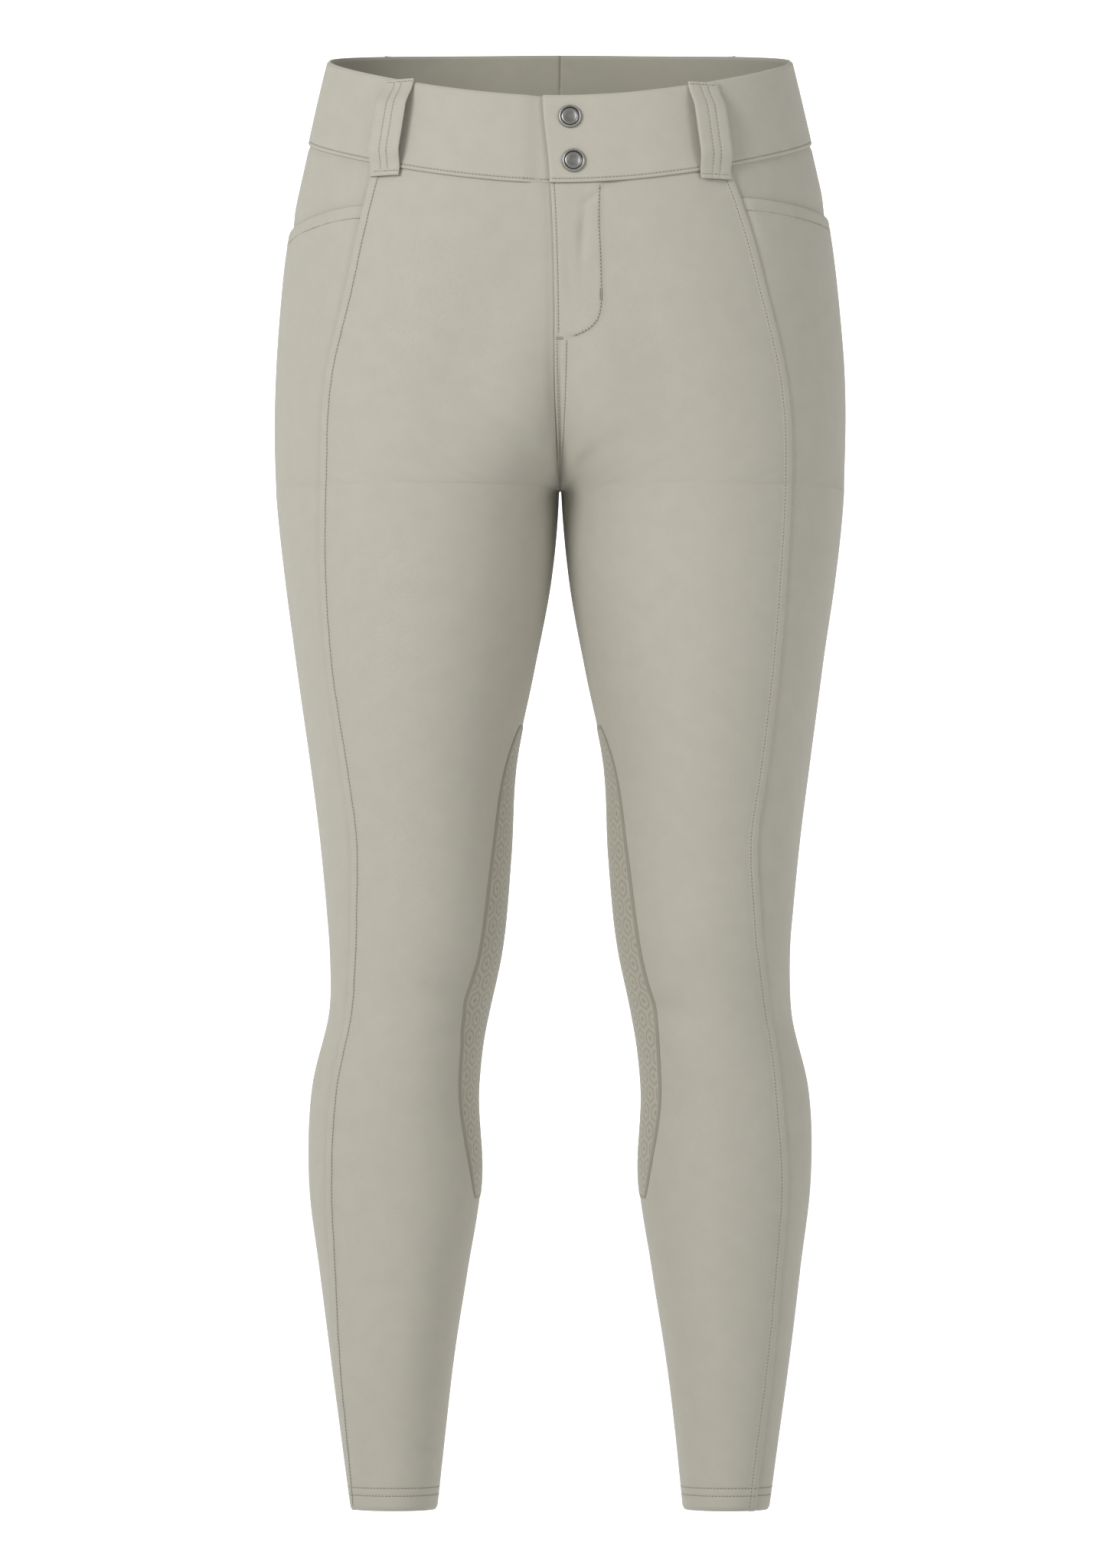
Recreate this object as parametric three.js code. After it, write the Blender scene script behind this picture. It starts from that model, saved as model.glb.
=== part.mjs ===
// Riding breeches, worn hollow form with open waist and open leg hems.
// Millimetres, +Z up, front towards -Y, the wearer's left towards +X.
// The origin lies on the body's middle line at the height where the waistband holds.

import * as THREE from 'three';

// Cloth, gaps and stack heights
const CLOTH = 1.4;
const BAND_CLOTH = 3.0;
const SEAM_GAP = 0.3;
const HEM_DEPTH = 15;
const HEM_FOLD = 1.1;
const BAND_PROUD = 1.0;

// Heights
const CROTCH = -254;
const HEM = -920;
const FRONT_VALLEY_TOP = -120;
const BACK_VALLEY_TOP = -40;
const HIP_ROW = -112;

// Shape of the form: how round the valleys over the crotch are, how fast their sides turn, how
// deep the seat is parted, and the handle of a quarter round
const FRONT_VALLEY = { roundness: 2.6, turn: 1.6 };
const BACK_VALLEY = { roundness: 2.8, turn: 2.2 };
const SEAT_CLEFT = 9;
const QUARTER = 0.5523;

// Waistband lap, fly and snaps, measured along the cloth from the middle line
const LAP_REACH_TOP = 10.9;
const LAP_REACH_BOTTOM = 6.4;
const LAP_LIFT = 1.5;
const LAP_FADE = 34;
const UNDERLAP_REACH = 26;
const UNDERLAP_DROP = 2.2;
const UNDERLAP_FADE = 10;
const UNDERLAP_START = LAP_REACH_TOP + 2;
const FLY_WIDTH = 30;
const FLY_END = -158;
const FLY_LIFT = 0.9;
const FLY_EDGE_FADE = { inside: 3, outside: 4 };
const FLY_UNDER = { drop: 0.4, from: 6, to: 16 };
const ZIP_TOP = -66;
const ZIP_CLOTH = 1.2;
const ZIP_BEHIND = 0.5;
const SNAP_RADIUS = 7.5;
const SNAP_HEIGHT = 2.6;
const SNAP_STAND = 0.4;
const SNAPS = [{ name: 'snap_upper', along: 6.2, z: -23.2 }, { name: 'snap_lower', along: 8.4, z: -51.2 }];

// Belt loops
const LOOP_WIDTH = 21;
const LOOP_CLOTH = 2.2;
const LOOP_BOW = 5.6;
const LOOP_TAIL = 7;
const LOOP_STAND = 0.25;
const FRONT_LOOP = { top: 0.234, bottom: 0.233, turn: 6.5 };
const BACK_LOOP = { top: 0.72, bottom: 0.725 };

// Pocket mouth on the side panel
const MOUTH_HEIGHTS = { left: { front: -72, side: -77 }, right: { front: -76.5, side: -86 } };
const MOUTH_LIFT = 0.9;
const MOUTH_FADE = 70;
const YOKE_TUCK = 14;
const YOKE_DROP = 1.2;
const YOKE_FADE = 18;

// Knee grip patch
const GRIP_TOP = -407;
const GRIP_BOTTOM = -715;
const GRIP_CENTRE = 7;
const GRIP_HALF_WIDTH_TOP = 43;
const GRIP_HALF_WIDTH_BOTTOM = 36;
const GRIP_ROUNDNESS = 2.6;
const GRIP_BLUNT = 0.975;
const GRIP_CLOTH = 0.8;
const GRIP_GAP = 0.5;

// The front panel's middle column line lies this far in front of its seam with the side panel,
// and a point on a sloping edge is placed by this many turns
const FRONT_MIDDLE = 70;
const PLACE_TURNS = 8;

// Half sections by height: outer side and inner leg distance from the middle plane, depth of
// the front and the back, where across the leg those lie, and the depth of the two side points
const SECTIONS = table(
  ['z', 'outer', 'inner', 'front', 'back', 'frontX', 'backX', 'outerY', 'innerY'],
  [
    [60, 141.5, 0, 96, 90, 30, 30, 2, 0],
    [20, 152.3, 0, 101, 93, 32, 32, 2, 0],
    [-30, 164.0, 0, 109, 101, 36, 38, 3, 0],
    [-83, 175.4, 0, 113, 114, 44, 46, 5, 0],
    [-133, 182.4, 0, 112, 126, 58, 56, 7, 0],
    [-203, 187.0, 0, 107, 132, 78, 72, 8, 0],
    [-253, 185.6, 0.6, 103, 122, 88, 84, 6, 2],
    [-313, 179.7, 6.0, 100, 101, 92, 90, 3, -1],
    [-373, 171.2, 16.8, 95, 85, 94, 93, 0, -3],
    [-433, 162.8, 28.6, 87, 74, 95, 95, -2, -5],
    [-493, 155.6, 32.0, 78, 64, 94, 94, -3, -5],
    [-553, 150.9, 37.8, 71, 54, 94, 95, -4, -6],
    [-593, 151.0, 46.0, 64, 50, 97, 99, 0, -4],
    [-643, 162.2, 53.2, 57, 59, 103, 107, 6, 3],
    [-703, 164.6, 51.6, 49, 65, 106, 110, 12, 9],
    [-763, 157.6, 60.2, 42, 61, 106, 110, 13, 11],
    [-823, 150.1, 69.2, 36, 53, 108, 110, 12, 11],
    [-873, 143.2, 75.3, 30, 48, 108, 110, 11, 10],
    [-920, 136.9, 80.5, 26, 45, 108, 109, 10, 10],
  ],
);

// Seams by height, along the cloth: how far the long front seam and the side-back seam lie in
// front of and behind the side line, how far the whole garment is turned on the body towards
// the wearer's right, and how far the inseam lies behind the inner side of the leg
const SEAMS = table(
  ['z', 'frontSeam', 'backSeam', 'turn', 'inseam'],
  [
    [40, 118, 70, 7.0, 0],
    [-50, 115, 73, 6.6, 0],
    [-90, 112.3, 76, 4.6, 0],
    [-133, 108.8, 80, 3.4, 0],
    [-182, 100.5, 84, 3.4, 0],
    [-254, 93.0, 84, 3.6, 0],
    [-316, 85.8, 78, 6.2, 12],
    [-373, 78.3, 72, 6.8, 24],
    [-433, 73.7, 66, 4.9, 36],
    [-480, 70.0, 62, 5.0, 41],
    [-535, 57.0, 56, 4.0, 44],
    [-603, 45.9, 52, 1.4, 45],
    [-646, 48.2, 54, 3.4, 44],
    [-708, 44.1, 54, 3.2, 42],
    [-760, 37.0, 49, 4.4, 38],
    [-832, 29.0, 41, 7.0, 31],
    [-920, 20.0, 32, 10.0, 24],
  ],
);

// Largest folds: the side they lie on, distance behind the side line along the cloth, height,
// half length along the cloth, half width up and down it, depth, and rise for each millimetre
const FOLDS = table(
  ['side', 'behind', 'z', 'halfLength', 'halfWidth', 'depth', 'rise'],
  [
    [-1, 82, -548, 66, 22, 4.6, 0.10],
    [-1, 69, -598, 58, 20, 3.4, -0.16],
    [1, 79, -560, 70, 23, 4.2, -0.08],
    [1, 96, -612, 54, 20, 3.6, 0.14],
    [-1, 150, -292, 78, 26, 4.0, 0.30],
    [1, 146, -300, 84, 25, 3.6, 0.34],
    [-1, -137, -585, 46, 24, 2.4, 0.55],
    [1, -134, -594, 42, 22, 1.8, 0.40],
  ],
);

// Colours, roughness and metalness
const CLOTH_LOOK = { color: 0xb7b3a2, roughness: 0.88, metalness: 0 };
const YOKE_LOOK = { color: 0xb1ad9c, roughness: 0.88, metalness: 0 };
const BAND_LOOK = { color: 0xbab6a5, roughness: 0.86, metalness: 0 };
const GRIP_LOOK = { color: 0xa19d8b, roughness: 0.6, metalness: 0 };
const METAL_LOOK = { color: 0x8c8a84, roughness: 0.38, metalness: 0.9 };
const ZIP_LOOK = { color: 0x9b9786, roughness: 0.7, metalness: 0 };

function table(names, rows) {
  return rows.map((row) => Object.fromEntries(names.map((name, i) => [name, row[i]])));
}

function mix(a, b, share) {
  return a + (b - a) * share;
}

function smoothStep(from, to, value) {
  const share = THREE.MathUtils.clamp((value - from) / (to - from), 0, 1);
  return share * share * (3 - 2 * share);
}

// Value of one column at a height: a smooth curve through the rows, with three-point slopes
function column(rows, name, z) {
  const last = rows.length - 1;
  let i = rows.findIndex((row, k) => k < last && z >= rows[k + 1].z);
  if (i < 0) {
    i = last - 1;
  }
  const step = (k) => rows[k + 1].z - rows[k].z;
  const slope = (k) => (rows[k + 1][name] - rows[k][name]) / step(k);
  const tangent = (k) => {
    if (k === 0) {
      return slope(0);
    }
    if (k === last) {
      return slope(last - 1);
    }
    return (slope(k - 1) * step(k) + slope(k) * step(k - 1)) / (step(k - 1) + step(k));
  };
  const s = (z - rows[i].z) / step(i);
  const blend = 3 * s * s - 2 * s * s * s;
  return mix(rows[i][name], rows[i + 1][name], blend)
    + step(i) * (tangent(i) * s * (1 - s) * (1 - s) - tangent(i + 1) * s * s * (1 - s));
}

// One rounded quarter of a section, from a to b, leaving along from and arriving along to
function quarter(a, from, b, to) {
  const dx = Math.abs(b.x - a.x);
  const dy = Math.abs(b.y - a.y);
  const reachA = QUARTER * (dx * Math.abs(from.x) + dy * Math.abs(from.y));
  const reachB = QUARTER * (dx * Math.abs(to.x) + dy * Math.abs(to.y));
  const handleA = a.clone().addScaledVector(from, reachA);
  const handleB = b.clone().addScaledVector(to, -reachB);
  return new THREE.CubicBezierCurve(a, handleA, handleB, b);
}

// How far the middle line has left the crotch, from 0 there to 1 at the top of its valley
function valley(z, top, roundness) {
  const share = Math.min(1, (z - CROTCH) / (top - CROTCH));
  return { share, rise: (1 - (1 - share) ** roundness) ** (1 / roundness) };
}

// Half section at a height: from the inner front point round the outer side to the inner back
// point. Above the crotch it is open on the middle plane, below it closes round one leg.
const sectionCache = new Map();
function section(z) {
  const key = Math.round(z * 1000);
  if (sectionCache.has(key)) {
    return sectionCache.get(key);
  }
  const at = (name) => column(SECTIONS, name, z);
  const inner = new THREE.Vector2(SEAM_GAP / 2, at('innerY'));
  let frontY = inner.y;
  let backY = inner.y;
  let frontAngle = Math.PI / 2;
  let backAngle = Math.PI / 2;
  if (z > CROTCH) {
    const front = valley(z, FRONT_VALLEY_TOP, FRONT_VALLEY.roundness);
    frontY = mix(inner.y, -at('front'), front.rise);
    frontAngle *= (1 - front.share) ** FRONT_VALLEY.turn;
    const back = valley(z, BACK_VALLEY_TOP, BACK_VALLEY.roundness);
    const cleft = SEAT_CLEFT * Math.sin(Math.PI * back.share) ** 2;
    backY = mix(inner.y, at('back') - cleft, back.rise);
    backAngle *= (1 - back.share) ** BACK_VALLEY.turn;
  } else {
    inner.x = Math.max(SEAM_GAP / 2, at('inner'));
  }
  const innerFront = new THREE.Vector2(inner.x, frontY);
  const front = new THREE.Vector2(at('frontX'), -at('front'));
  const outer = new THREE.Vector2(at('outer'), at('outerY'));
  const back = new THREE.Vector2(at('backX'), at('back'));
  const innerBack = new THREE.Vector2(inner.x, backY);
  const leave = new THREE.Vector2(Math.cos(frontAngle), -Math.sin(frontAngle));
  const arrive = new THREE.Vector2(-Math.cos(backAngle), -Math.sin(backAngle));
  const right = new THREE.Vector2(1, 0);
  const backwards = new THREE.Vector2(0, 1);
  const left = new THREE.Vector2(-1, 0);
  const path = new THREE.CurvePath();
  path.add(quarter(innerFront, leave, front, right));
  path.add(quarter(front, right, outer, backwards));
  path.add(quarter(outer, backwards, back, left));
  path.add(quarter(back, left, innerBack, arrive));
  const lengths = path.getCurveLengths();
  const found = { path, length: path.getLength(), side: lengths[1], back: lengths[2] };
  sectionCache.set(key, found);
  return found;
}

// Point of the bare form at a share of the way round and a height. A share under 0 or over 1
// passes the middle plane above the crotch, and goes on round the same leg below it.
function formPoint(side, round, z) {
  let way = z > CROTCH ? round : THREE.MathUtils.euclideanModulo(round, 1);
  let mirror = side;
  if (way < 0) {
    way = -way;
    mirror = -side;
  }
  if (way > 1) {
    way = 2 - way;
    mirror = -side;
  }
  const point = section(z).path.getPoint(way);
  return new THREE.Vector3(mirror * point.x, point.y, z);
}

// Outward direction of the bare form: square to the section, tipped by the slope up and down
function formNormal(side, round, z) {
  const reach = 1.5 / section(z).length;
  let before = round - reach;
  let after = round + reach;
  if (z > CROTCH && round >= 0 && before < 0) {
    before = 0;
  }
  if (z > CROTCH && round <= 1 && after > 1) {
    after = 1;
  }
  const a = formPoint(side, before, z);
  const b = formPoint(side, after, z);
  const high = formPoint(side, round, z + 1);
  const low = formPoint(side, round, z - 1);
  const across = new THREE.Vector2(side * (b.y - a.y), -side * (b.x - a.x)).normalize();
  const slope = across.x * (high.x - low.x) / 2 + across.y * (high.y - low.y) / 2;
  return new THREE.Vector3(across.x, across.y, -slope).normalize();
}

// Depth of the folds at a place on the cloth
function foldDepth(side, round, z) {
  let depth = 0;
  for (const fold of FOLDS) {
    if (fold.side !== side) {
      continue;
    }
    const along = round * section(z).length - section(z).side - fold.behind;
    const up = z - fold.z - fold.rise * along;
    const shape = (along / fold.halfLength) ** 2 + (up / fold.halfWidth) ** 2;
    depth += fold.depth * Math.exp(-1.2 * shape);
  }
  return depth;
}

// Point on the cloth, moved out by a lift
function clothPoint(side, round, z, lift) {
  const out = lift - foldDepth(side, round, z);
  return formPoint(side, round, z).addScaledVector(formNormal(side, round, z), out);
}

// Share of the way round that a distance along the cloth makes at a height
function shareOf(distance, z) {
  return distance / section(z).length;
}

// Waistband's top edge and its seam with the panels, lower in front than behind
function bandTop(round) {
  return 22 - 26 * Math.cos(Math.PI * round) - 5 * Math.cos(2 * Math.PI * round);
}

function bandSeam(round) {
  return -33.3 - 26 * Math.cos(Math.PI * round) - 5.7 * Math.cos(2 * Math.PI * round);
}

// Seam lines, as a share of the way round
function centreFront(side, z) {
  if (z <= CROTCH) {
    return -shareOf(column(SEAMS, 'inseam', z), z);
  }
  const fade = smoothStep(CROTCH, CROTCH + 22, z);
  return -side * shareOf(column(SEAMS, 'turn', z) * fade, z);
}

function frontSeam(side, z) {
  const ahead = column(SEAMS, 'frontSeam', z) + side * column(SEAMS, 'turn', z);
  return shareOf(section(z).side - ahead, z);
}

function sideBackSeam(side, z) {
  return shareOf(section(z).side + column(SEAMS, 'backSeam', z), z);
}

function centreBack(side, z) {
  return z > CROTCH ? 1 : 1 - shareOf(column(SEAMS, 'inseam', z), z);
}

// Pocket mouth, a little lower at the side than where it meets the front seam
function pocketMouth(side, round) {
  const { front, side: outer } = side > 0 ? MOUTH_HEIGHTS.left : MOUTH_HEIGHTS.right;
  const from = frontSeam(side, front);
  return mix(front, outer, smoothStep(from, from + 0.25, round));
}

// Heights of the rows that all panels share below the hip
const ROWS = [
  HIP_ROW, -136, -162, -188, -211, -229, -241, -248.5, -252.6, CROTCH,
  -257, -266, -284, -310, -342, -376, -410, -444, -478, -512, -540, -562, -582, -601, -620,
  -640, -662, -688, -720, -756, -794, -832, -870, HEM + HEM_DEPTH + 1.5, HEM + HEM_DEPTH - 1.5, HEM,
];

// Closed wall from an outer and an inner sheet of points, both [row][column]
function wallGeometry(outer, inner, flipped) {
  const rows = outer.length;
  const columns = outer[0].length;
  const positions = [];
  for (const sheet of [outer, inner]) {
    for (const row of sheet) {
      for (const point of row) {
        positions.push(point.x, point.y, point.z);
      }
    }
  }
  const indices = [];
  const at = (layer, row, col) => (layer * rows + row) * columns + col;
  const quad = (a, b, c, d) => {
    if (flipped) {
      indices.push(a, c, b, a, d, c);
    } else {
      indices.push(a, b, c, a, c, d);
    }
  };
  for (let r = 0; r < rows - 1; r += 1) {
    for (let c = 0; c < columns - 1; c += 1) {
      quad(at(0, r, c), at(0, r + 1, c), at(0, r + 1, c + 1), at(0, r, c + 1));
      quad(at(1, r, c), at(1, r, c + 1), at(1, r + 1, c + 1), at(1, r + 1, c));
    }
  }
  for (let c = 0; c < columns - 1; c += 1) {
    const end = rows - 1;
    quad(at(0, 0, c), at(0, 0, c + 1), at(1, 0, c + 1), at(1, 0, c));
    quad(at(0, end, c), at(1, end, c), at(1, end, c + 1), at(0, end, c + 1));
  }
  for (let r = 0; r < rows - 1; r += 1) {
    const end = columns - 1;
    quad(at(0, r, 0), at(1, r, 0), at(1, r + 1, 0), at(0, r + 1, 0));
    quad(at(0, r, end), at(0, r + 1, end), at(1, r + 1, end), at(1, r, end));
  }
  const geometry = new THREE.BufferGeometry();
  geometry.setAttribute('position', new THREE.Float32BufferAttribute(positions, 3));
  geometry.setIndex(indices);
  geometry.computeVertexNormals();
  return geometry;
}

// Cut piece on the form. Its columns run from its first seam, by way of a middle line where it
// has one, to its second seam; each row lies between its top edge and a level. Lift and cloth say
// how far out its face lies and how thick it is there.
function cutPiece(name, side, look, piece) {
  const outer = [];
  const inner = [];
  const roundAt = (column, z) => {
    const start = piece.from(side, z) + shareOf(SEAM_GAP / 2, z);
    const end = piece.to(side, z) - shareOf(SEAM_GAP / 2, z);
    if (!piece.middle) {
      return mix(start, end, column);
    }
    const middle = piece.middle(side, z);
    return column < 1 ? mix(start, middle, column) : mix(middle, end, column - 1);
  };
  const place = (column, row) => {
    let z = HIP_ROW;
    let round = roundAt(column, z);
    for (let turn = 0; turn < PLACE_TURNS; turn += 1) {
      z = mix(piece.top(side, round) - SEAM_GAP / 2, row.level(side, round), row.share);
      round = roundAt(column, z);
    }
    return { round, z };
  };
  for (const row of piece.rows) {
    const outerRow = [];
    const innerRow = [];
    for (const column of piece.columns) {
      const { round, z } = place(column, row);
      const lift = piece.lift ? piece.lift(side, round, z) : 0;
      const cloth = piece.cloth ? piece.cloth(side, round, z) : CLOTH;
      outerRow.push(clothPoint(side, round, z, lift));
      innerRow.push(clothPoint(side, round, z, lift - cloth));
    }
    outer.push(outerRow);
    inner.push(innerRow);
  }
  return finish(name, wallGeometry(outer, inner, side < 0), look);
}

function finish(name, geometry, look) {
  const mesh = new THREE.Mesh(geometry, new THREE.MeshStandardMaterial(look));
  mesh.name = name;
  return mesh;
}

// Rows that sink from a top edge to a lower line
function rowsTo(level, shares) {
  return shares.map((rowShare) => ({ level, share: rowShare }));
}

// Rows of a panel: they sink from its top edge to the first shared row, then are shared
function panelRows(shares) {
  const sinking = rowsTo(() => HIP_ROW, shares);
  return [...sinking, ...ROWS.map((level) => ({ level: () => level, share: 1 }))];
}

function even(count) {
  return Array.from({ length: count }, (_, i) => i / (count - 1));
}

// Hem: the cloth is turned up inside over its last centimetre and a half
function hemCloth(side, round, z) {
  return z < HEM + HEM_DEPTH ? CLOTH + HEM_FOLD : CLOTH;
}

// Fly: the left front laps over the right one and stands proud as far as its curved stitching
function flyLift(side, round, z) {
  const distance = side * round * section(z).length;
  const depth = smoothStep(FLY_END - 4, FLY_END + 10, z);
  if (side > 0) {
    const edge = FLY_WIDTH - column(SEAMS, 'turn', z);
    const from = edge - FLY_EDGE_FADE.inside;
    return FLY_LIFT * depth * (1 - smoothStep(from, edge + FLY_EDGE_FADE.outside, distance));
  }
  return -FLY_UNDER.drop * depth * (1 - smoothStep(FLY_UNDER.from, FLY_UNDER.to, -distance));
}

// Pocket mouth: the side panel's top edge stands off the yoke and settles further down
function mouthLift(side, round, z) {
  const below = pocketMouth(side, round) - z;
  return MOUTH_LIFT * (1 - smoothStep(0, MOUTH_FADE, below));
}

// Yoke: sinks in where it runs behind the pocket mouth
function yokeLift(side, round, z) {
  const above = z - pocketMouth(side, round);
  return -YOKE_DROP * (1 - smoothStep(0, YOKE_FADE, above));
}

// Waistband: the left end lies over the right end, which sinks in to pass behind it
function lapReach(round, z) {
  const down = smoothStep(bandTop(round), bandSeam(round), z);
  return mix(LAP_REACH_TOP, LAP_REACH_BOTTOM, down);
}

function bandLift(side, round, z) {
  const distance = round * section(z).length;
  const reach = lapReach(round, z);
  if (side > 0) {
    return BAND_PROUD + LAP_LIFT * (1 - smoothStep(LAP_FADE - reach, LAP_FADE + 12, distance));
  }
  const rise = smoothStep(UNDERLAP_START, UNDERLAP_START + UNDERLAP_FADE, distance);
  return BAND_PROUD - UNDERLAP_DROP * (1 - rise);
}

const FRONT = {
  from: centreFront,
  middle: (side, z) => frontSeam(side, z) - shareOf(FRONT_MIDDLE, z),
  to: frontSeam,
  top: (side, round) => bandSeam(round),
  columns: [0, 0.13, 0.3, 0.49, 0.66, 0.83, 1, 1.25, 1.5, 1.75, 2],
  rows: panelRows([0, 0.3, 0.62]),
  lift: flyLift,
  cloth: hemCloth,
};
const SIDE = {
  from: frontSeam,
  to: sideBackSeam,
  top: pocketMouth,
  columns: even(8),
  rows: panelRows([0, 0.4]),
  lift: mouthLift,
  cloth: hemCloth,
};
const BACK = {
  from: sideBackSeam,
  middle: (side, z) => section(z).back / section(z).length,
  to: centreBack,
  top: (side, round) => bandSeam(round),
  columns: [0, 0.25, 0.5, 0.75, 1, 1.2, 1.4, 1.6, 1.8, 2],
  rows: panelRows([0, 0.25, 0.5, 0.75]),
  cloth: hemCloth,
};
const YOKE = {
  from: frontSeam,
  to: sideBackSeam,
  top: (side, round) => bandSeam(round),
  columns: even(8),
  rows: rowsTo((side, round) => pocketMouth(side, round) - YOKE_TUCK, [0, 0.3, 0.55, 0.75, 1]),
  lift: yokeLift,
};
const BAND = {
  from: (side, z) => (side > 0 ? -shareOf(lapReach(0, z), z) : -shareOf(UNDERLAP_REACH, z)),
  to: () => 1,
  top: (side, round) => bandTop(round) + SEAM_GAP / 2,
  columns: [0, 0.03, 0.06, 0.09, 0.13, 0.18, 0.24, 0.31, 0.38, 0.45, 0.52, 0.59, 0.67, 0.75, 0.83, 0.91, 1],
  rows: rowsTo((side, round) => bandSeam(round) + SEAM_GAP / 2, [0, 0.33, 0.67, 1]),
  lift: bandLift,
  cloth: () => BAND_CLOTH,
};

// Belt loop: a flat strip sewn at the band's top edge and below its seam, bowed between
const LOOP_STEPS = [0, 0.05, 0.13, 0.25, 0.4, 0.55, 0.7, 0.82, 0.92, 1];
function beltLoop(name, side, roundTop, roundBottom) {
  const outer = [];
  const inner = [];
  const top = bandTop(roundTop) - 0.5;
  const bottom = bandSeam(roundBottom) - LOOP_TAIL;
  for (const step of LOOP_STEPS) {
    const z = mix(top, bottom, step);
    const round = mix(roundTop, roundBottom, step);
    const seat = bandLift(side, round, z) + SEAM_GAP + LOOP_CLOTH;
    const bow = LOOP_BOW * smoothStep(0.04, 0.3, step) * (1 - smoothStep(0.72, 0.95, step));
    const outerRow = [];
    const innerRow = [];
    for (const across of [-0.5, 0, 0.5]) {
      const at = round + shareOf(across * LOOP_WIDTH, z);
      outerRow.push(clothPoint(side, at, z, seat + LOOP_STAND + bow));
      innerRow.push(clothPoint(side, at, z, seat + LOOP_STAND + bow - LOOP_CLOTH));
    }
    outer.push(outerRow);
    inner.push(innerRow);
  }
  return finish(name, wallGeometry(outer, inner, side < 0), BAND_LOOK);
}

// Snap cap: a turned metal cap with a rolled rim round a dished face, square to the band
function snapCap({ name, along, z }) {
  const profile = [
    [0, 0], [0.9, 0], [1, 0.25], [1, 0.6], [0.93, 0.9], [0.85, 1],
    [0.76, 0.92], [0.7, 0.72], [0.36, 0.6], [0, 0.56],
  ].map(([radius, height]) => new THREE.Vector2(radius * SNAP_RADIUS, height * SNAP_HEIGHT));
  const geometry = new THREE.LatheGeometry(profile, 28);
  const round = shareOf(along, z);
  const normal = formNormal(1, round, z);
  const mesh = finish(name, geometry, METAL_LOOK);
  mesh.position.copy(clothPoint(1, round, z, bandLift(1, round, z) + SNAP_STAND));
  mesh.quaternion.setFromUnitVectors(new THREE.Vector3(0, 1, 0), normal);
  return mesh;
}

// Zip tape: hangs straight behind the lap, seated on the inside of the cloth
function flyZip() {
  const outer = [];
  const inner = [];
  const drop = CLOTH + SEAM_GAP + ZIP_BEHIND;
  for (const step of even(6)) {
    const z = mix(ZIP_TOP, FLY_END + 4, step);
    const centre = 2 - column(SEAMS, 'turn', z);
    const outerRow = [];
    const innerRow = [];
    for (const across of [-13, -4, 4, 13]) {
      const at = shareOf(centre + across, z);
      const lift = Math.min(flyLift(1, at, z), flyLift(-1, -at, z)) - drop;
      outerRow.push(clothPoint(1, at, z, lift));
      innerRow.push(clothPoint(1, at, z, lift - ZIP_CLOTH));
    }
    outer.push(outerRow);
    inner.push(innerRow);
  }
  return finish('fly_zip', wallGeometry(outer, inner, false), ZIP_LOOK);
}

// Knee grip: a long rounded patch on the inner leg, a little narrower towards the calf
function gripHalfWidth(v) {
  const wide = mix(GRIP_HALF_WIDTH_TOP, GRIP_HALF_WIDTH_BOTTOM, (1 - v) / 2);
  return wide * (1 - Math.abs(v * GRIP_BLUNT) ** GRIP_ROUNDNESS) ** (1 / GRIP_ROUNDNESS);
}

// Point of a panel's wall at a distance along the cloth, straight between its two nearest rows
function seatedPoint(side, distance, z, lift) {
  const below = ROWS.findIndex((level) => level <= z);
  const high = ROWS[below - 1];
  const low = ROWS[below];
  const upper = clothPoint(side, shareOf(distance, high), high, lift);
  return upper.lerp(clothPoint(side, shareOf(distance, low), low, lift), (high - z) / (high - low));
}

function kneeGrip(name, side) {
  const outer = [];
  const inner = [];
  const middle = (GRIP_TOP + GRIP_BOTTOM) / 2;
  const half = (GRIP_TOP - GRIP_BOTTOM) / 2;
  const ends = [1, 0.985, 0.94, -0.93, -0.98, -1].map((v) => middle + half * v);
  const between = ROWS.filter((level) => level < ends[2] - 4 && level > ends[3] + 4);
  for (const z of [...ends, ...between].sort((a, b) => b - a)) {
    const v = (z - middle) / half;
    const outerRow = [];
    const innerRow = [];
    for (const across of even(8)) {
      const distance = GRIP_CENTRE + (2 * across - 1) * gripHalfWidth(v);
      outerRow.push(seatedPoint(side, distance, z, GRIP_GAP + GRIP_CLOTH));
      innerRow.push(seatedPoint(side, distance, z, GRIP_GAP));
    }
    outer.push(outerRow);
    inner.push(innerRow);
  }
  return finish(name, wallGeometry(outer, inner, side < 0), GRIP_LOOK);
}

const breeches = new THREE.Group();
breeches.name = 'riding_breeches';
for (const [word, side] of [['left', 1], ['right', -1]]) {
  breeches.add(cutPiece(`front_panel_${word}`, side, CLOTH_LOOK, FRONT));
  breeches.add(cutPiece(`side_panel_${word}`, side, CLOTH_LOOK, SIDE));
  breeches.add(cutPiece(`back_panel_${word}`, side, CLOTH_LOOK, BACK));
  breeches.add(cutPiece(`hip_yoke_${word}`, side, YOKE_LOOK, YOKE));
  breeches.add(cutPiece(`waistband_${word}`, side, BAND_LOOK, BAND));
  const turn = side * shareOf(FRONT_LOOP.turn, 0);
  const frontLoop = [FRONT_LOOP.top - turn, FRONT_LOOP.bottom - turn];
  breeches.add(beltLoop(`belt_loop_front_${word}`, side, ...frontLoop));
  breeches.add(beltLoop(`belt_loop_back_${word}`, side, BACK_LOOP.top, BACK_LOOP.bottom));
  breeches.add(kneeGrip(`knee_grip_${word}`, side));
}
breeches.add(beltLoop('belt_loop_back_centre', 1, 1, 1));
for (const snap of SNAPS) {
  breeches.add(snapCap(snap));
}
breeches.add(flyZip());

export default breeches;
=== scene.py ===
"""Riding breeches, shown worn and hollow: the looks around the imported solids.

Shapes are worked out in millimetres along the cloth, and every mesh is made in metres.
"""

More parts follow.
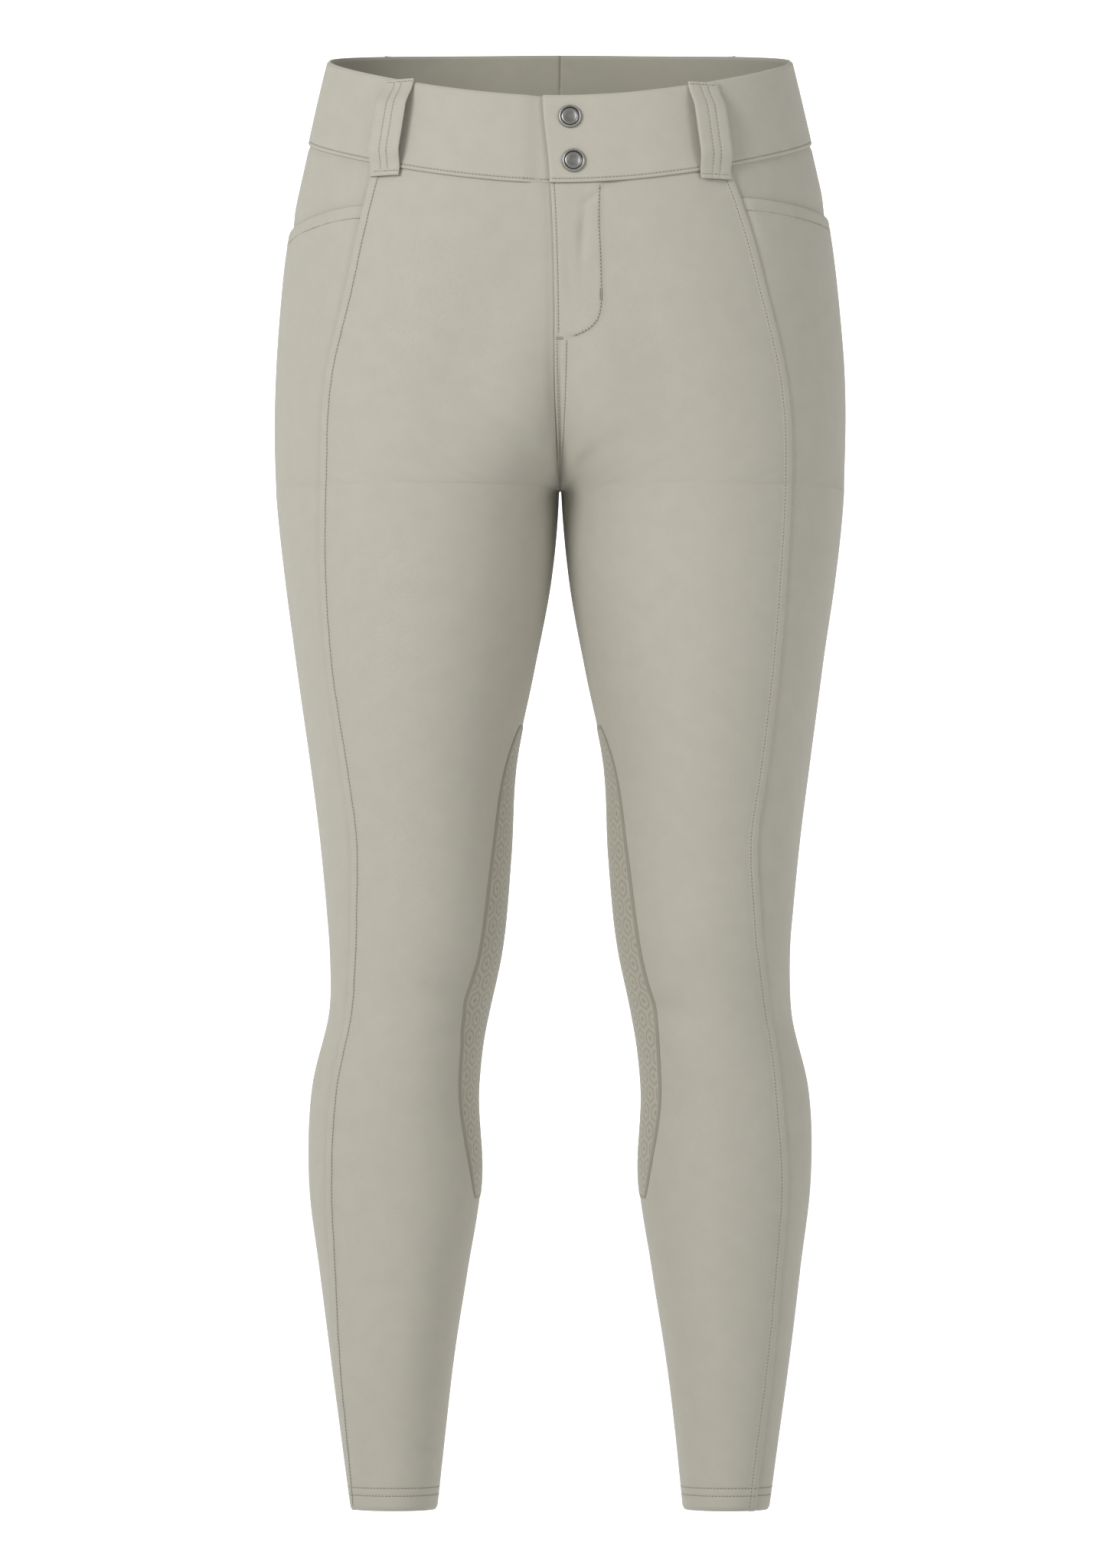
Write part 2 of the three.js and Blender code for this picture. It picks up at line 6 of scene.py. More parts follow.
import bpy
import numpy as np
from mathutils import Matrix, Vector


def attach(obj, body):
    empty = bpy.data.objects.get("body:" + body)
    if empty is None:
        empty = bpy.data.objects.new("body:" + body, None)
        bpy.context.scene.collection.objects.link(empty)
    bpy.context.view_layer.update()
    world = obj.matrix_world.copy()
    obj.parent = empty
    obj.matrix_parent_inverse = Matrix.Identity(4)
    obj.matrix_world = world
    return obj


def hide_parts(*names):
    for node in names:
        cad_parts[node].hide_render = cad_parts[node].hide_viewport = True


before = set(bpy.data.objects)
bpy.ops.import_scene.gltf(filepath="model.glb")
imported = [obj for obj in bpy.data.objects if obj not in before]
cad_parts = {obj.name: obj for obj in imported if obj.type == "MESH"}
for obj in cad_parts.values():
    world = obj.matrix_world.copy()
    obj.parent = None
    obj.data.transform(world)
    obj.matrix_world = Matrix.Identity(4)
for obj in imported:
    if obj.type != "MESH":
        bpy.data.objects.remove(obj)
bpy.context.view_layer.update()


# Front panels: the two large cut pieces of stretch twill in front, from the middle line to the
# long seam over the thigh. They are cut to the body's form, sewn with a raised strip along the
# outer seam, and lapped left over right at the fly.
MM = 0.001
CROTCH = -254.0
HEM = -920.0
HIP_ROW = -112.0
HEM_TILT = 0.045
QUARTER = 0.5523
FRONT_VALLEY = {"top": -120.0, "roundness": 2.6, "turn": 1.6}
BACK_VALLEY = {"top": -40.0, "roundness": 2.8, "turn": 2.2}
SEAT_CLEFT = 9.0
MIDDLE_GAP = 0.15
CLOTH = 1.1
QUARTER_STEPS = 18


def table(names, *rows):
    """A table of numbers as one array for each named column."""
    return dict(zip(names.split(), np.array(rows, float).T))


# Half sections by height: outer side and inner leg distance from the middle plane, depth of the
# front and the back, where across the leg those lie, and the depth of the two side points
SECTIONS = table(
    "z outer inner front back front_x back_x outer_y inner_y",
    (60, 141.5, 0, 96, 90, 30, 30, 2, 0),
    (20, 152.3, 0, 101, 93, 32, 32, 2, 0),
    (-30, 164.0, 0, 109, 101, 36, 38, 3, 0),
    (-83, 175.4, 0, 113, 114, 44, 46, 5, 0),
    (-133, 182.4, 0, 112, 126, 58, 56, 7, 0),
    (-203, 187.0, 0, 107, 132, 78, 72, 8, 0),
    (-253, 185.6, 0.6, 103, 122, 88, 84, 6, 2),
    (-313, 179.7, 6.0, 100, 101, 92, 90, 3, -1),
    (-373, 171.2, 16.8, 95, 85, 94, 93, 0, -3),
    (-433, 162.8, 28.6, 87, 74, 95, 95, -2, -5),
    (-493, 155.6, 32.0, 78, 64, 94, 94, -3, -5),
    (-553, 150.9, 37.8, 71, 54, 94, 95, -4, -6),
    (-593, 151.0, 46.0, 64, 50, 97, 99, 0, -4),
    (-643, 162.2, 53.2, 57, 59, 103, 107, 6, 3),
    (-703, 164.6, 51.6, 49, 65, 106, 110, 12, 9),
    (-763, 157.6, 60.2, 42, 61, 106, 110, 13, 11),
    (-823, 150.1, 69.2, 36, 53, 108, 110, 12, 11),
    (-873, 143.2, 75.3, 30, 48, 108, 110, 11, 10),
    (-920, 136.9, 80.5, 26, 45, 108, 109, 10, 10),
)

# Seams by height, along the cloth: how far the long front seam and the side-back seam lie in
# front of and behind the side line, how far the whole garment is turned on the body, and how far
# the inseam lies behind the inner side of the leg
SEAMS = table(
    "z front_seam back_seam turn inseam",
    (40, 118, 70, 7.0, 0),
    (-50, 115, 73, 6.6, 0),
    (-90, 112.3, 76, 4.6, 0),
    (-133, 108.8, 80, 3.4, 0),
    (-182, 100.5, 84, 3.4, 0),
    (-254, 93.0, 84, 3.6, 0),
    (-316, 85.8, 78, 6.2, 12),
    (-373, 78.3, 72, 6.8, 24),
    (-433, 73.7, 66, 4.9, 36),
    (-480, 70.0, 62, 5.0, 41),
    (-535, 57.0, 56, 4.0, 44),
    (-603, 45.9, 52, 1.4, 45),
    (-646, 48.2, 54, 3.4, 44),
    (-708, 44.1, 54, 3.2, 42),
    (-760, 37.0, 49, 4.4, 38),
    (-832, 29.0, 41, 7.0, 31),
    (-920, 20.0, 32, 10.0, 24),
)

# Folds: the side they lie on, distance behind the side line along the cloth, height, half length
# along the cloth, half width up and down it, depth, and rise for each millimetre along it
FOLDS = table(
    "side behind z half_length half_width depth rise",
    (-1, 82, -548, 66, 22, 4.6, 0.10),
    (-1, 69, -598, 58, 20, 3.4, -0.16),
    (1, 79, -560, 70, 23, 4.2, -0.08),
    (1, 96, -612, 54, 20, 3.6, 0.14),
    (-1, 150, -292, 78, 26, 4.0, 0.30),
    (1, 146, -300, 84, 25, 3.6, 0.34),
    (-1, -137, -585, 46, 24, 2.4, 0.55),
    (1, -134, -594, 42, 22, 1.8, 0.40),
)

# Small creases: the side they lie on, distance along the cloth from the inner front point, height,
# angle in degrees up from the cross direction, half length, half width and depth
CREASES = table(
    "side distance z angle half_length half_width depth",
    (1, 14.5, -97, 87, 20, 3.4, 1.80),
    (1, 20.5, -74, 38, 8, 1.7, 1.60),
    (1, 6.0, -128, 97, 16, 3.0, 0.40),
    (-1, 29.0, -879, 8, 10, 3.2, 1.80),
    (-1, 17.0, -891, 26, 9, 2.8, 1.30),
    (-1, 21.0, -862, 22, 12, 4.4, 0.90),
    (1, 24.0, -884, -16, 10, 3.2, 1.10),
    (-1, 66.0, -582, 14, 34, 8.0, 1.20),
    (-1, 52.0, -606, -9, 26, 7.0, 0.80),
    (1, 60.0, -592, -12, 32, 8.5, 1.10),
    (1, 70.0, -566, 6, 22, 7.0, 0.60),
    (1, 34.0, -236, 34, 26, 6.0, 0.90),
    (-1, 30.0, -241, 29, 22, 5.0, 0.70),
    (-1, 46.0, -222, 24, 28, 7.5, 0.55),
)


def mix(a, b, share):
    return a + (b - a) * share


def smooth_step(start, end, value):
    """0 before start, 1 after end, and the smooth cubic 3s^2 - 2s^3 between them."""
    share = np.clip((value - start) / (end - start), 0.0, 1.0)
    return share * share * (3.0 - 2.0 * share)


def ridge(distance, half_width):
    """A soft ridge of height 1 on a line: exp(-(distance / half_width)^2)."""
    return np.exp(-np.square(distance / half_width))


def column(rows, name, z):
    """One column of a table at heights z: the cubic Hermite curve through its rows, whose slope
    at a row is the mean of its two neighbours' slopes, each weighted by the other's step."""
    heights, values = rows["z"], rows[name]
    step = np.diff(heights)
    slope = np.diff(values) / step
    inner = (slope[:-1] * step[1:] + slope[1:] * step[:-1]) / (step[:-1] + step[1:])
    tangent = np.concatenate([slope[:1], inner, slope[-1:]])
    i = np.clip(np.searchsorted(-heights, -np.asarray(z, float), "right") - 1, 0, len(step) - 1)
    s = (z - heights[i]) / step[i]
    blend = 3 * s**2 - 2 * s**3
    bend = tangent[i] * s * (1 - s) ** 2 - tangent[i + 1] * s**2 * (1 - s)
    return mix(values[i], values[i + 1], blend) + step[i] * bend


def pair(x, y):
    return np.stack(np.broadcast_arrays(x, y), -1).astype(float)


def quarter_round(a, leave, b, arrive):
    """Control points of one rounded quarter from a to b: a cubic Bezier whose handles reach 0.5523
    of the way along each axis, in the directions leave and arrive."""
    span = np.abs(b - a)
    reach_a = QUARTER * (span * np.abs(leave)).sum(-1, keepdims=True)
    reach_b = QUARTER * (span * np.abs(arrive)).sum(-1, keepdims=True)
    return np.stack([a, a + leave * reach_a, b - arrive * reach_b, b], -2)


def half_section(z):
    """Control points (..., 4, 4, 2) of the half section at heights z: four rounded quarters from
    the inner front point round the outer side to the inner back point. Above the crotch the two
    inner points leave the middle line's valleys along a superellipse; below it they meet."""
    at = {name: column(SECTIONS, name, z) for name in SECTIONS if name != "z"}
    ends = []
    for valley in (FRONT_VALLEY, BACK_VALLEY):
        share = np.clip((z - CROTCH) / (valley["top"] - CROTCH), 0.0, 1.0)
        power = valley["roundness"]
        rise = (1 - (1 - share) ** power) ** (1 / power)
        ends.append((share, rise, 0.5 * np.pi * (1 - share) ** valley["turn"]))
    (_, front_rise, front_angle), (back_share, back_rise, back_angle) = ends
    cleft = SEAT_CLEFT * np.sin(np.pi * back_share) ** 2
    inner_x = np.where(z > CROTCH, MIDDLE_GAP, np.maximum(MIDDLE_GAP, at["inner"]))
    inner_front = pair(inner_x, mix(at["inner_y"], -at["front"], front_rise))
    inner_back = pair(inner_x, mix(at["inner_y"], at["back"] - cleft, back_rise))
    front = pair(at["front_x"], -at["front"])
    outer = pair(at["outer"], at["outer_y"])
    back = pair(at["back_x"], at["back"])
    right, backwards, left = np.array([[1.0, 0.0], [0.0, 1.0], [-1.0, 0.0]])
    leave = pair(np.cos(front_angle), -np.sin(front_angle))
    arrive = pair(-np.cos(back_angle), -np.sin(back_angle))
    quarters = [
        quarter_round(inner_front, leave, front, right),
        quarter_round(front, right, outer, backwards),
        quarter_round(outer, backwards, back, left),
        quarter_round(back, left, inner_back, arrive),
    ]
    return np.stack(quarters, -3)


def bezier(control, t):
    """Points of cubic Beziers: control (..., 4, 2) and parameters t (...)."""
    t = t[..., None]
    a, b, c, d = (control[..., k, :] for k in range(4))
    return (1 - t) ** 3 * a + 3 * (1 - t) ** 2 * t * b + 3 * (1 - t) * t**2 * c + t**3 * d


def bezier_slope(control, t):
    """Derivatives of cubic Beziers with respect to t."""
    t = t[..., None]
    a, b, c, d = (control[..., k, :] for k in range(4))
    return 3 * ((1 - t) ** 2 * (b - a) + 2 * (1 - t) * t * (c - b) + t**2 * (d - c))


def arc_lengths(control):
    """Length from the section's start to each of its sample points, (..., 4 * steps + 1)."""
    t = np.linspace(0.0, 1.0, QUARTER_STEPS + 1)
    points = bezier(control[..., None, :, :], t)
    chords = np.linalg.norm(np.diff(points, axis=-2), axis=-1)
    chords = chords.reshape(*chords.shape[:-2], -1)
    return np.concatenate([np.zeros_like(chords[..., :1]), np.cumsum(chords, -1)], -1)


# Sampled heights, closer and closer together down to the crotch, where the sections change fast
HEIGHTS = np.concatenate(
    [
        np.arange(70, CROTCH + 3, -0.5),
        CROTCH + 3 * np.linspace(1, 0, 60) ** 3,
        np.arange(CROTCH - 0.5, HEM - 11, -0.5),
    ]
)
HEIGHT_LENGTHS = arc_lengths(half_section(HEIGHTS))


def length_at(z, quarters=4):
    """Length along the cloth of the first quarters of the section at heights z."""
    samples = HEIGHT_LENGTHS[:, quarters * QUARTER_STEPS]
    return np.interp(-z, -HEIGHTS, samples)


def form(side, distance, z):
    """Points and outward normals of the bare form, at distances along the cloth from the inner
    front point and heights z. The distance picks a Bezier and its parameter by arc length; past
    the middle plane it goes on over the other half above the crotch and round the leg below it.
    The normal is square to the section, tipped by its slope up and down at the same parameter."""
    distance, z = np.broadcast_arrays(np.asarray(distance, float), np.asarray(z, float))
    control = half_section(z)
    lengths = arc_lengths(control)
    total = lengths[..., -1]
    above = z > CROTCH
    way = np.where(above, np.abs(distance), np.mod(distance, total))
    mirror = np.where(above & (distance < 0), -side, side)
    mirror = np.where(above & (way > total), -mirror, mirror)
    way = np.where(above & (way > total), 2 * total - way, way)
    segment = (lengths[..., 1:-1] <= way[..., None]).sum(-1)
    start = np.take_along_axis(lengths, segment[..., None], -1)[..., 0]
    end = np.take_along_axis(lengths, segment[..., None] + 1, -1)[..., 0]
    t = (segment % QUARTER_STEPS + (way - start) / (end - start)) / QUARTER_STEPS
    quarter = (segment // QUARTER_STEPS)[..., None, None, None]
    own = np.take_along_axis(control, quarter, -3)[..., 0, :, :]
    point = bezier(own, t)
    tangent = bezier_slope(own, t)
    high = np.take_along_axis(half_section(z + 1), quarter, -3)[..., 0, :, :]
    low = np.take_along_axis(half_section(z - 1), quarter, -3)[..., 0, :, :]
    drift = (bezier(high, t) - bezier(low, t)) / 2
    across = pair(tangent[..., 1], -tangent[..., 0])
    across /= np.linalg.norm(across, axis=-1, keepdims=True)
    normal = np.stack([mirror * across[..., 0], across[..., 1], -(across * drift).sum(-1)], -1)
    normal /= np.linalg.norm(normal, axis=-1, keepdims=True)
    return np.stack([mirror * point[..., 0], point[..., 1], z], -1), normal


def fold_depth(side, distance, z):
    """Depth of all folds of one side: each is depth * exp(-1.2 (along^2 + up^2)), with along and up
    measured in its own half length and half width, and up taken from its sloping line."""
    behind = distance - length_at(z, 2)
    depth = np.zeros(np.broadcast(distance, z).shape)
    for own, place, height, half_length, half_width, deep, rise in zip(*FOLDS.values()):
        if own == side:
            along = behind - place
            up = z - height - rise * along
            depth += deep * np.exp(-1.2 * ((along / half_length) ** 2 + (up / half_width) ** 2))
    return depth


def crease_depth(side, distance, z):
    """Depth of the small creases of one side, each a trough along its own slanting line, and of a
    slight unevenness of the cloth: four long waves across each other."""
    waves = (
        np.sin(distance / 19 + z / 47 + side) + np.sin(distance / 31 - z / 23 + 2 * side)
        + np.sin(z / 35 - distance / 53) + np.sin(z / 61 + distance / 27 + 3)
    )
    depth = 0.12 * waves
    for own, place, height, angle, half_length, half_width, deep in zip(*CREASES.values()):
        if own == side:
            cos, sin = np.cos(np.radians(angle)), np.sin(np.radians(angle))
            along = (distance - place) * cos + (z - height) * sin
            up = (z - height) * cos - (distance - place) * sin
            depth = depth + deep * np.exp(-1.2 * ((along / half_length) ** 2 + (up / half_width) ** 2))
    return depth


# At the crotch the cloth bridges the quick change between the sections in a soft slope. The bridge
# is kept as depths on a grid of heights and distances from the middle, for the front and the back
BRIDGE = {
    "top": -170.0, "bottom": -330.0, "fade": 24.0,
    "reach": 24.0, "start": 0.5, "full": 26.0, "side": (125.0, 172.0),
}
BRIDGE_Z = np.arange(BRIDGE["bottom"], BRIDGE["top"] + 0.1, 0.5)
BRIDGE_X = np.arange(0.0, 192.0, 2.0)


def bridge(quarters):
    """How far the cloth lies in front of the bare form: the form's depth at each distance from the
    middle, averaged up and down over a reach that grows away from the middle, less itself."""
    curves = bezier(half_section(BRIDGE_Z)[:, quarters][..., None, :, :], np.linspace(0, 1, 60))
    curves = curves.reshape(len(BRIDGE_Z), -1, 2)
    curves = curves[:, np.argsort(curves[0, :, 0], kind="stable")]
    depth = np.stack([np.interp(BRIDGE_X, curve[:, 0], curve[:, 1]) for curve in curves])
    reach = 0.5 + BRIDGE["reach"] * smooth_step(BRIDGE["start"], BRIDGE["full"], BRIDGE_X)
    weight = ridge((BRIDGE_Z[:, None] - BRIDGE_Z)[..., None], reach)
    even = (weight * depth).sum(1) / weight.sum(1)
    fade = BRIDGE["fade"]
    ends = smooth_step(BRIDGE["bottom"], BRIDGE["bottom"] + fade, BRIDGE_Z)
    ends = ends * (1 - smooth_step(BRIDGE["top"] - fade, BRIDGE["top"], BRIDGE_Z))
    return (even - depth) * ends[:, None] * (1 - smooth_step(*BRIDGE["side"], BRIDGE_X))


BRIDGES = np.stack([bridge(slice(0, 2)), bridge(slice(3, 1, -1))])


def bridged(point, normal):
    """Depth of the bridge at points on the form, read from its grid in straight lines between."""
    last = len(BRIDGE_Z) - 1
    row = np.clip((point[..., 2] - BRIDGE_Z[0]) / (BRIDGE_Z[1] - BRIDGE_Z[0]), 0, last - 1e-6)
    col = np.clip(np.abs(point[..., 0]) / (BRIDGE_X[1] - BRIDGE_X[0]), 0, len(BRIDGE_X) - 1.001)
    i, j, face = row.astype(int), col.astype(int), (normal[..., 1] > 0).astype(int)
    low = mix(BRIDGES[face, i, j], BRIDGES[face, i, j + 1], col - j)
    high = mix(BRIDGES[face, i + 1, j], BRIDGES[face, i + 1, j + 1], col - j)
    return mix(low, high, row - i)


def cloth_point(side, distance, z, lift):
    """Point on the cloth: the form, bridged at the crotch, raised at the front of the hem, and moved
    along its normal by lift less the depth of folds and creases."""
    point, normal = form(side, distance, z)
    point[..., 1] += bridged(point, normal)
    ahead = 10 - point[..., 1]
    point[..., 2] += HEM_TILT * (ahead + np.hypot(ahead, 10)) * smooth_step(-840, -900, z)
    depth = fold_depth(side, distance, z) + crease_depth(side, distance, z)
    return point + normal * (lift - depth)[..., None], normal


# Seam lines, as distances along the cloth from the inner front point of the section
def centre_front(side, z):
    turned = -side * column(SEAMS, "turn", z) * smooth_step(CROTCH, CROTCH + 22, z)
    return np.where(z > CROTCH, turned, -column(SEAMS, "inseam", z))


def front_seam(side, z):
    return length_at(z, 2) - column(SEAMS, "front_seam", z) - side * column(SEAMS, "turn", z)


def side_back_seam(side, z):
    return length_at(z, 2) + column(SEAMS, "back_seam", z)


def centre_back(side, z):
    return length_at(z) - np.where(z > CROTCH, 0.0, column(SEAMS, "inseam", z))


def band_seam(share):
    """Height of the waistband's lower edge at a share of the way round, lower in front."""
    return -33.3 - 26 * np.cos(np.pi * share) - 5.7 * np.cos(2 * np.pi * share)


def band_top(share):
    return 22 - 26 * np.cos(np.pi * share) - 5 * np.cos(2 * np.pi * share)


# Steps across a piece, from a seam inwards, fine where the seam is worked
SEAM_STEPS = np.array([0, 0.4, 0.9, 1.6, 2.4, 3.4, 4.4, 5.0, 5.4, 5.7, 6.0, 6.5, 7.2, 8.6, 10.6, 13.0])
FLY_STEPS = np.concatenate(
    [[0, 0.4, 0.9, 1.5, 2.0, 2.4, 2.8, 3.5, 4.6, 5.8, 6.8, 7.5, 8.2], np.arange(9.4, 37, 1.25)]
)
LEVELS = np.concatenate(
    [
        np.arange(HIP_ROW, -172, -1.5),
        np.arange(-172, -236, -3.0),
        CROTCH + np.array([17, 14.5, 12, 10, 8, 6, 4.5, 3, 2, 1, 0.5, 0]),
        CROTCH - np.array([0.5, 1.5, 3, 5, 7.5, 10]),
        np.arange(-267, -899, -3.0),
        [-900.5, -902.5, -903.8, -904.6, -905, -905.4, -906.2, -907.6, -908.8, -909.6, -910],
        [-910.4, -911.2, -912.6, -914.4, -916.4, -918, -919, -919.6, HEM],
    ]
)


def columns(first, middle, last):
    """Columns across a piece as a + b * width: fixed steps inside both seams, even ones between."""
    share = np.linspace(0, 1, middle + 2)[1:-1]
    a = np.concatenate([first, mix(first[-1], -last[-1], share), -last[::-1]])
    b = np.concatenate([np.zeros(len(first)), share, np.ones(len(last))])
    return a, b


def lay(side, start, end, top, bottom, shares, across):
    """Distances and heights of a piece's grid. Its columns run between two seam lines, and each row
    lies at its share of the way from the top edge to the bottom line, which both may slope, so the
    two are worked out in turns."""
    a, b = across
    z = np.full((len(shares), len(a)), HIP_ROW)
    for _ in range(8):
        first = start(side, z)
        distance = first + a + b * (end(side, z) - first)
        z = mix(top(side, distance, z), bottom(side, distance, z), shares[:, None])
    return distance, z


def shell(outer, inner):
    """Vertices and quads of a closed wall between two grids of points: two sheets and four rims."""
    rows, cols = outer.shape[:2]
    a, b = np.arange(2 * rows * cols).reshape(2, rows, cols)
    faces = [
        np.stack([a[:-1, :-1], a[1:, :-1], a[1:, 1:], a[:-1, 1:]], -1),
        np.stack([b[:-1, :-1], b[:-1, 1:], b[1:, 1:], b[1:, :-1]], -1),
        np.stack([a[0, :-1], a[0, 1:], b[0, 1:], b[0, :-1]], -1),
        np.stack([a[-1, :-1], b[-1, :-1], b[-1, 1:], a[-1, 1:]], -1),
        np.stack([a[:-1, 0], b[:-1, 0], b[1:, 0], a[1:, 0]], -1),
        np.stack([a[:-1, -1], a[1:, -1], b[1:, -1], b[:-1, -1]], -1),
    ]
    points = np.concatenate([outer.reshape(-1, 3), inner.reshape(-1, 3)])
    return points, np.concatenate([f.reshape(-1, 4) for f in faces])


def make_mesh(name, points, faces, material, uv=None, flip=False, tones=None):
    """A mesh object that rides on the frame, from arrays of points in millimetres and of faces,
    with its flat cloth map and its named tones, one value a point."""
    if flip:
        faces = faces[:, ::-1]
    mesh = bpy.data.meshes.new(name)
    mesh.vertices.add(len(points))
    mesh.vertices.foreach_set("co", (points * MM).astype(np.float32).ravel())
    mesh.loops.add(faces.size)
    mesh.loops.foreach_set("vertex_index", faces.astype(np.int32).ravel())
    mesh.polygons.add(len(faces))
    mesh.polygons.foreach_set("loop_start", np.arange(0, faces.size, faces.shape[1], dtype=np.int32))
    mesh.polygons.foreach_set("use_smooth", np.ones(len(faces), bool))
    if uv is not None:
        layer = mesh.uv_layers.new(name="cloth")
        layer.data.foreach_set("uv", (uv[faces.ravel()] * MM).astype(np.float32).ravel())
    for tone, values in (tones or {}).items():
        attribute = mesh.attributes.new(tone, "FLOAT", "POINT")
        attribute.data.foreach_set("value", np.asarray(values, np.float32).ravel())
    mesh.update()
    mesh.materials.append(material)
    thing = bpy.data.objects.new(name, mesh)
    bpy.context.scene.collection.objects.link(thing)
    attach(thing, "root")
    return thing


def cloth_piece(name, node, side, grid, lift, thickness, material):
    """A piece of cloth as a closed shell on the form, whose map is laid flat along the cloth. Its
    inner sheet is marked as the cloth's inside."""
    distance, z = grid
    outer, _ = cloth_point(side, distance, z, lift)
    inner, _ = cloth_point(side, distance, z, lift - thickness)
    points, faces = shell(outer, inner)
    flat = np.stack([side * distance, z], -1).reshape(-1, 2)
    inside = {"inside": np.repeat([0.0, 1.0], z.size)}
    uv = np.concatenate([flat, flat])
    piece = make_mesh(name, points, faces, material, uv, side < 0, inside)
    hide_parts(node)
    return piece


def felled(distance, height=1.0, width=5.7):
    """Lift of a lapped seam's raised strip at a distance from its edge: level up to its row of
    stitches, which sink in, rolled down at the edge and settled a millimetre past the row."""
    strip = height * (1 - smooth_step(width - 0.5, width + 1.2, distance))
    roll = -0.4 * height * (1 - smooth_step(0, 1.1, distance))
    return strip + roll - 0.35 * ridge(distance - width, 0.55)


def tucked(distance):
    """Lift of an edge that runs in under the next piece: it sinks over the last 6 millimetres."""
    return -0.7 * (1 - smooth_step(1.6, 7.5, distance))


def pucker(distance, along, phase):
    """Small unequal waves along a stitched seam: three sines of unrelated lengths that fade away
    from the row."""
    waves = np.sin(along / 2.3 + phase) + np.sin(along / 3.7 + 2 * phase) + np.sin(along / 6.1)
    return 0.065 * waves * ridge(distance, 4.5)


def below_band(side, distance, z):
    """Lift of the cloth just below the waistband, where the band's seam pulls it in."""
    return -0.7 * (1 - smooth_step(0.3, 4.5, band_seam(distance / length_at(z)) - z))


def hem_roll(z):
    """Lift of the hem: its two stitched rows sink in, and its turned edge rolls inwards."""
    rows = ridge(z + 905, 0.5) + ridge(z + 910, 0.5)
    return -0.22 * rows - 0.9 * (1 - smooth_step(HEM, HEM + 2.4, z))


def hem_thickness(z):
    """Thickness of the cloth, doubled by the turned hem and drawn in again at its very edge."""
    turned = 1 - smooth_step(HEM + 15, HEM + 16.5, z)
    return CLOTH + 1.1 * turned - 1.3 * (1 - smooth_step(HEM, HEM + 2.4, z))


def all_levels(side, distance, z):
    """Heights of all rows below the hip row; the first rows sink from the top edge to it."""
    return np.concatenate([np.full(len(z) - len(LEVELS), HIP_ROW), LEVELS])[:, None] + 0 * z


def sinking(count):
    return np.concatenate([np.linspace(0, 1, count + 1)[:-1], np.ones(len(LEVELS))])


def under_band(side, distance, z):
    return band_seam(distance / length_at(z)) + 1.0


def node_maker(material):
    """The two calls that build a node material: add a node with its settings, and link two."""
    tree = material.node_tree

    def add(kind, settings=(), **properties):
        node = tree.nodes.new("ShaderNode" + kind)
        for name, value in properties.items():
            setattr(node, name, value)
        for socket, value in dict(settings).items():
            node.inputs[socket].default_value = value
        return node

    return add, tree.links.new


def stretch_twill(name, face, back, tilt=28.0, step=0.8):
    """Stretch twill: fine diagonal ribs and cross threads as bump, a faint mottle of the dye and a
    soft nap that catches light at a slant. Its inside is darker: partly the cloth's own more olive
    back, partly painted shade."""
    material = bpy.data.materials.new(name)
    material.use_nodes = True
    shader = material.node_tree.nodes["Principled BSDF"]
    add, link = node_maker(material)
    flat = add("UVMap", uv_map="cloth").outputs["UV"]
    turn = add("Mapping", {"Rotation": (0, 0, np.radians(tilt))})
    link(flat, turn.inputs["Vector"])
    grain = {"Scale": np.pi / 10 / (step * MM), "Distortion": 1.4, "Detail": 2, "Detail Scale": 0.6}
    ribs = add("TexWave", grain, wave_type="BANDS", bands_direction="X")
    link(turn.outputs["Vector"], ribs.inputs["Vector"])
    grain = {"Scale": np.pi / 10 / (0.6 * step * MM), "Distortion": 2.4}
    threads = add("TexWave", grain, wave_type="BANDS", bands_direction="Y")
    link(flat, threads.inputs["Vector"])
    weave = add("Math", {1: 0.4}, operation="MULTIPLY_ADD")
    link(threads.outputs["Fac"], weave.inputs[0])
    link(ribs.outputs["Fac"], weave.inputs[2])
    mottle = add("TexNoise", {"Scale": 70, "Detail": 6, "Roughness": 0.6})
    link(flat, mottle.inputs["Vector"])
    shade = add("MapRange", {"From Min": 0.3, "From Max": 0.7, "To Min": 0.975, "To Max": 1.025})
    link(mottle.outputs["Fac"], shade.inputs["Value"])
    rib_shade = add("MapRange", {"To Min": 0.96, "To Max": 1.02})
    link(ribs.outputs["Fac"], rib_shade.inputs["Value"])
    both = add("Math", operation="MULTIPLY")
    link(shade.outputs["Result"], both.inputs[0])
    link(rib_shade.outputs["Result"], both.inputs[1])
    dye = add("Mix", data_type="RGBA")
    dye.inputs["A"].default_value = (*face, 1)
    dye.inputs["B"].default_value = (*back, 1)
    link(add("Attribute", attribute_name="inside").outputs["Fac"], dye.inputs["Factor"])
    toned = add("VectorMath", operation="SCALE")
    link(dye.outputs["Result"], toned.inputs["Vector"])
    link(both.outputs["Value"], toned.inputs["Scale"])
    link(toned.outputs["Vector"], shader.inputs["Base Color"])
    bump = add("Bump", {"Strength": 0.26, "Distance": 0.00016})
    link(weave.outputs["Value"], bump.inputs["Height"])
    link(bump.outputs["Normal"], shader.inputs["Normal"])
    shader.inputs["Roughness"].default_value = 0.86
    shader.inputs["Specular IOR Level"].default_value = 0.25
    shader.inputs["Sheen Weight"].default_value = 0.12
    shader.inputs["Sheen Roughness"].default_value = 0.45
    return material


